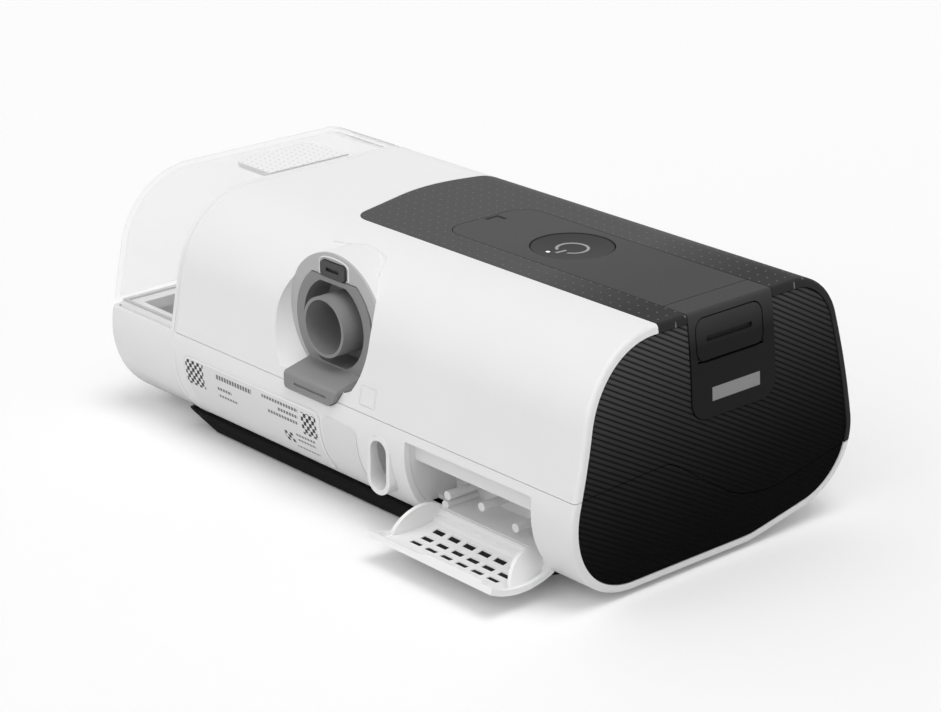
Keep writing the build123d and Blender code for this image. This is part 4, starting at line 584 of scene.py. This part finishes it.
def housingBead(shellFinish):
    for name in ("upper_housing", "lower_housing"):
        freshStart()
        edge = bpy.data.objects.new("bead", nodes[name].data.copy())
        bpy.context.scene.collection.objects.link(edge)
        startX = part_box(name)[0][0]
        only(edge)
        bpy.ops.object.mode_set(mode="EDIT")
        bpy.ops.mesh.select_all(action="SELECT")
        bpy.ops.mesh.remove_doubles(threshold=bead["weld"] * mm)
        bpy.ops.mesh.bisect(plane_co=(startX + bead["width"] * mm, 0.0, 0.0), plane_no=(1.0, 0.0, 0.0),
                            use_fill=True, clear_outer=True)
        bpy.ops.mesh.select_all(action="SELECT")
        bpy.ops.mesh.dissolve_limited(angle_limit=math.radians(bead["flatUnder"]))
        bpy.ops.mesh.select_all(action="SELECT")
        bpy.ops.transform.shrink_fatten(value=bead["proud"] * mm)
        bpy.ops.object.mode_set(mode="OBJECT")
        soften(edge, bead["round"], bead["segments"])
        place(edge, name.split("_")[0] + "_bead", "housing")
        shellFinish.paint(edge)


# Fine raised lines beside the outlet: on the housing's shoulder and round the release clip.
raised = {"shoulder_line": {"on": "upper_housing", "radius": 0.5, "points": (
              (-19.8, -44.2, 90.9), (-9.0, -42.3, 91.8), (4.4, -41.4, 92.2), (9.8, -44.6, 90.7),
              (11.0, -50.3, 87.2), (14.5, -54.6, 83.0))},
          "clip_line": {"on": "outlet_plate", "radius": 0.3, "points": (
              (-11.7, -57.5, 82.6), (-11.7, -57.5, 86.6), (-11.7, -57.5, 90.4), (-3.8, -57.5, 91.4),
              (4.3, -57.5, 90.4), (4.3, -57.5, 87.0), (4.3, -57.5, 84.4))}}
lineSteps = {"order": 3, "along": 8, "around": 2, "weld": 0.005, "smoothUnder": 60.0}


def raisedLines(shellFinish):
    for name, look in raised.items():
        freshStart()
        bpy.ops.curve.primitive_nurbs_path_add()
        path = bpy.context.object
        spline = path.data.splines[0]
        spline.points.add(len(look["points"]) - len(spline.points))
        for point, spot in zip(spline.points, look["points"]):
            point.co = (*(value * mm for value in spot), 1.0)
        spline.order_u, spline.use_endpoint_u = lineSteps["order"], True
        spline.resolution_u = lineSteps["along"]
        bpy.ops.object.convert(target="MESH")
        seat = path.modifiers.new("seat", "SHRINKWRAP")
        seat.target = nodes[look["on"]]
        bpy.ops.object.modifier_apply(modifier=seat.name)
        bpy.ops.object.convert(target="CURVE")
        path.data.bevel_depth, path.data.bevel_resolution = look["radius"] * mm, lineSteps["around"]
        path.data.use_fill_caps = True
        bpy.ops.object.convert(target="MESH")
        bpy.ops.object.mode_set(mode="EDIT")
        bpy.ops.mesh.select_all(action="SELECT")
        bpy.ops.mesh.remove_doubles(threshold=lineSteps["weld"] * mm)
        bpy.ops.mesh.normals_make_consistent(inside=False)
        bpy.ops.object.mode_set(mode="OBJECT")
        bpy.ops.object.shade_smooth_by_angle(angle=math.radians(lineSteps["smoothUnder"]))
        place(path, name, "housing")
        shellFinish.paint(path)


grilleShadePads()
print("grille screen done")
footSkirt()
print("foot skirt done")
housingBead(shellWhite)
print("housing edge done")
raisedLines(shellWhite)
print("raised lines done")


# Floor, sky and two soft suns, in metres. The backdrop that the eye sees is whiter than its light.
studio = {"floorSize": 8.0, "floorTones": (0.965, 0.975), "floorRoughness": 0.9, "cloud": (0.002, 2.0),
          "bounce": 0.78, "haze": 0.05, "backdrop": 1.0, "sky": 0.43,
          "key": {"energy": 1.17, "soft": 34.0, "from": (0.30, -0.06, 0.95)},
          "fill": {"energy": 0.80, "soft": 70.0, "from": (0.10, -0.75, 0.65)}}


def whiteFloor():
    freshStart()
    bpy.ops.mesh.primitive_plane_add(size=studio["floorSize"], location=(0.0, 0.0, 0.0))
    floor = bpy.context.object
    floor.name = "floor"
    ground = Finish("floorWhite", Specular_IOR_Level=0.0, Roughness=studio["floorRoughness"])
    seen = Wire(ground.tree, ground.add("ShaderNodeLightPath").outputs["Is Camera Ray"])
    shown = ground.shade(ground.noise(*studio["cloud"]), studio["floorTones"])
    ground.set("Base Color", ground.blend(seen, grey(studio["bounce"]), shown))
    ground.set("Emission Color", grey(1.0))
    ground.set("Emission Strength", seen * studio["haze"])
    ground.paint(floor)


# The backdrop also shows in gloss and through the clear tub.
def skyLight():
    world = bpy.data.worlds.new("studioSky")
    bpy.context.scene.world = world
    world.use_nodes = True
    tree = world.node_tree
    background = tree.nodes["Background"]
    join(tree, background.inputs["Color"], grey(1.0))
    rays = addNode(tree, "ShaderNodeLightPath", {}, {}).outputs
    seen = Wire(tree, rays["Is Camera Ray"])
    for kind in ("Is Glossy Ray", "Is Transmission Ray"):
        seen = seen.most(Wire(tree, rays[kind]))
    strength = seen * (studio["backdrop"] - studio["sky"]) + studio["sky"]
    join(tree, background.inputs["Strength"], strength)


def sunFrom(look):
    direction = Vector(look["from"])
    bpy.ops.object.light_add(type="SUN", rotation=direction.to_track_quat("Z", "Y").to_euler())
    lamp = bpy.context.object
    lamp.data.energy = look["energy"]
    lamp.data.angle = math.radians(look["soft"])


# Camera: angles in degrees, places in metres, the focal length and the image's width in pixels.
view = {"turn": 48.2047, "rise": 20.6308, "distance": 1.01039, "aim": (0.0, 0.0, 0.045),
        "slide": (0.00268, -0.0034), "focal": 2737.73, "imageWidth": 941.0, "sensor": 36.0,
        "clip": (0.01, 30.0)}


def cameraView():
    turn, rise = math.radians(view["turn"]), math.radians(view["rise"])
    back = Vector((math.sin(turn) * math.cos(rise), -math.cos(turn) * math.cos(rise), math.sin(rise)))
    right = Vector((math.cos(turn), math.sin(turn), 0.0))
    up = right.cross(-back)
    aim = Vector(view["aim"]) + right * view["slide"][0] + up * view["slide"][1]
    bpy.ops.object.camera_add(location=aim + back * view["distance"])
    camera = bpy.context.object
    camera.rotation_euler = (-back).to_track_quat("-Z", "Y").to_euler()
    camera.data.sensor_width = view["sensor"]
    camera.data.sensor_fit = "HORIZONTAL"
    camera.data.lens = view["focal"] * view["sensor"] / view["imageWidth"]
    camera.data.clip_start, camera.data.clip_end = view["clip"]
    bpy.context.scene.camera = camera


whiteFloor()
skyLight()
sunFrom(studio["key"])
sunFrom(studio["fill"])
cameraView()
bpy.context.scene.view_settings.view_transform = "Standard"
print("studio done")
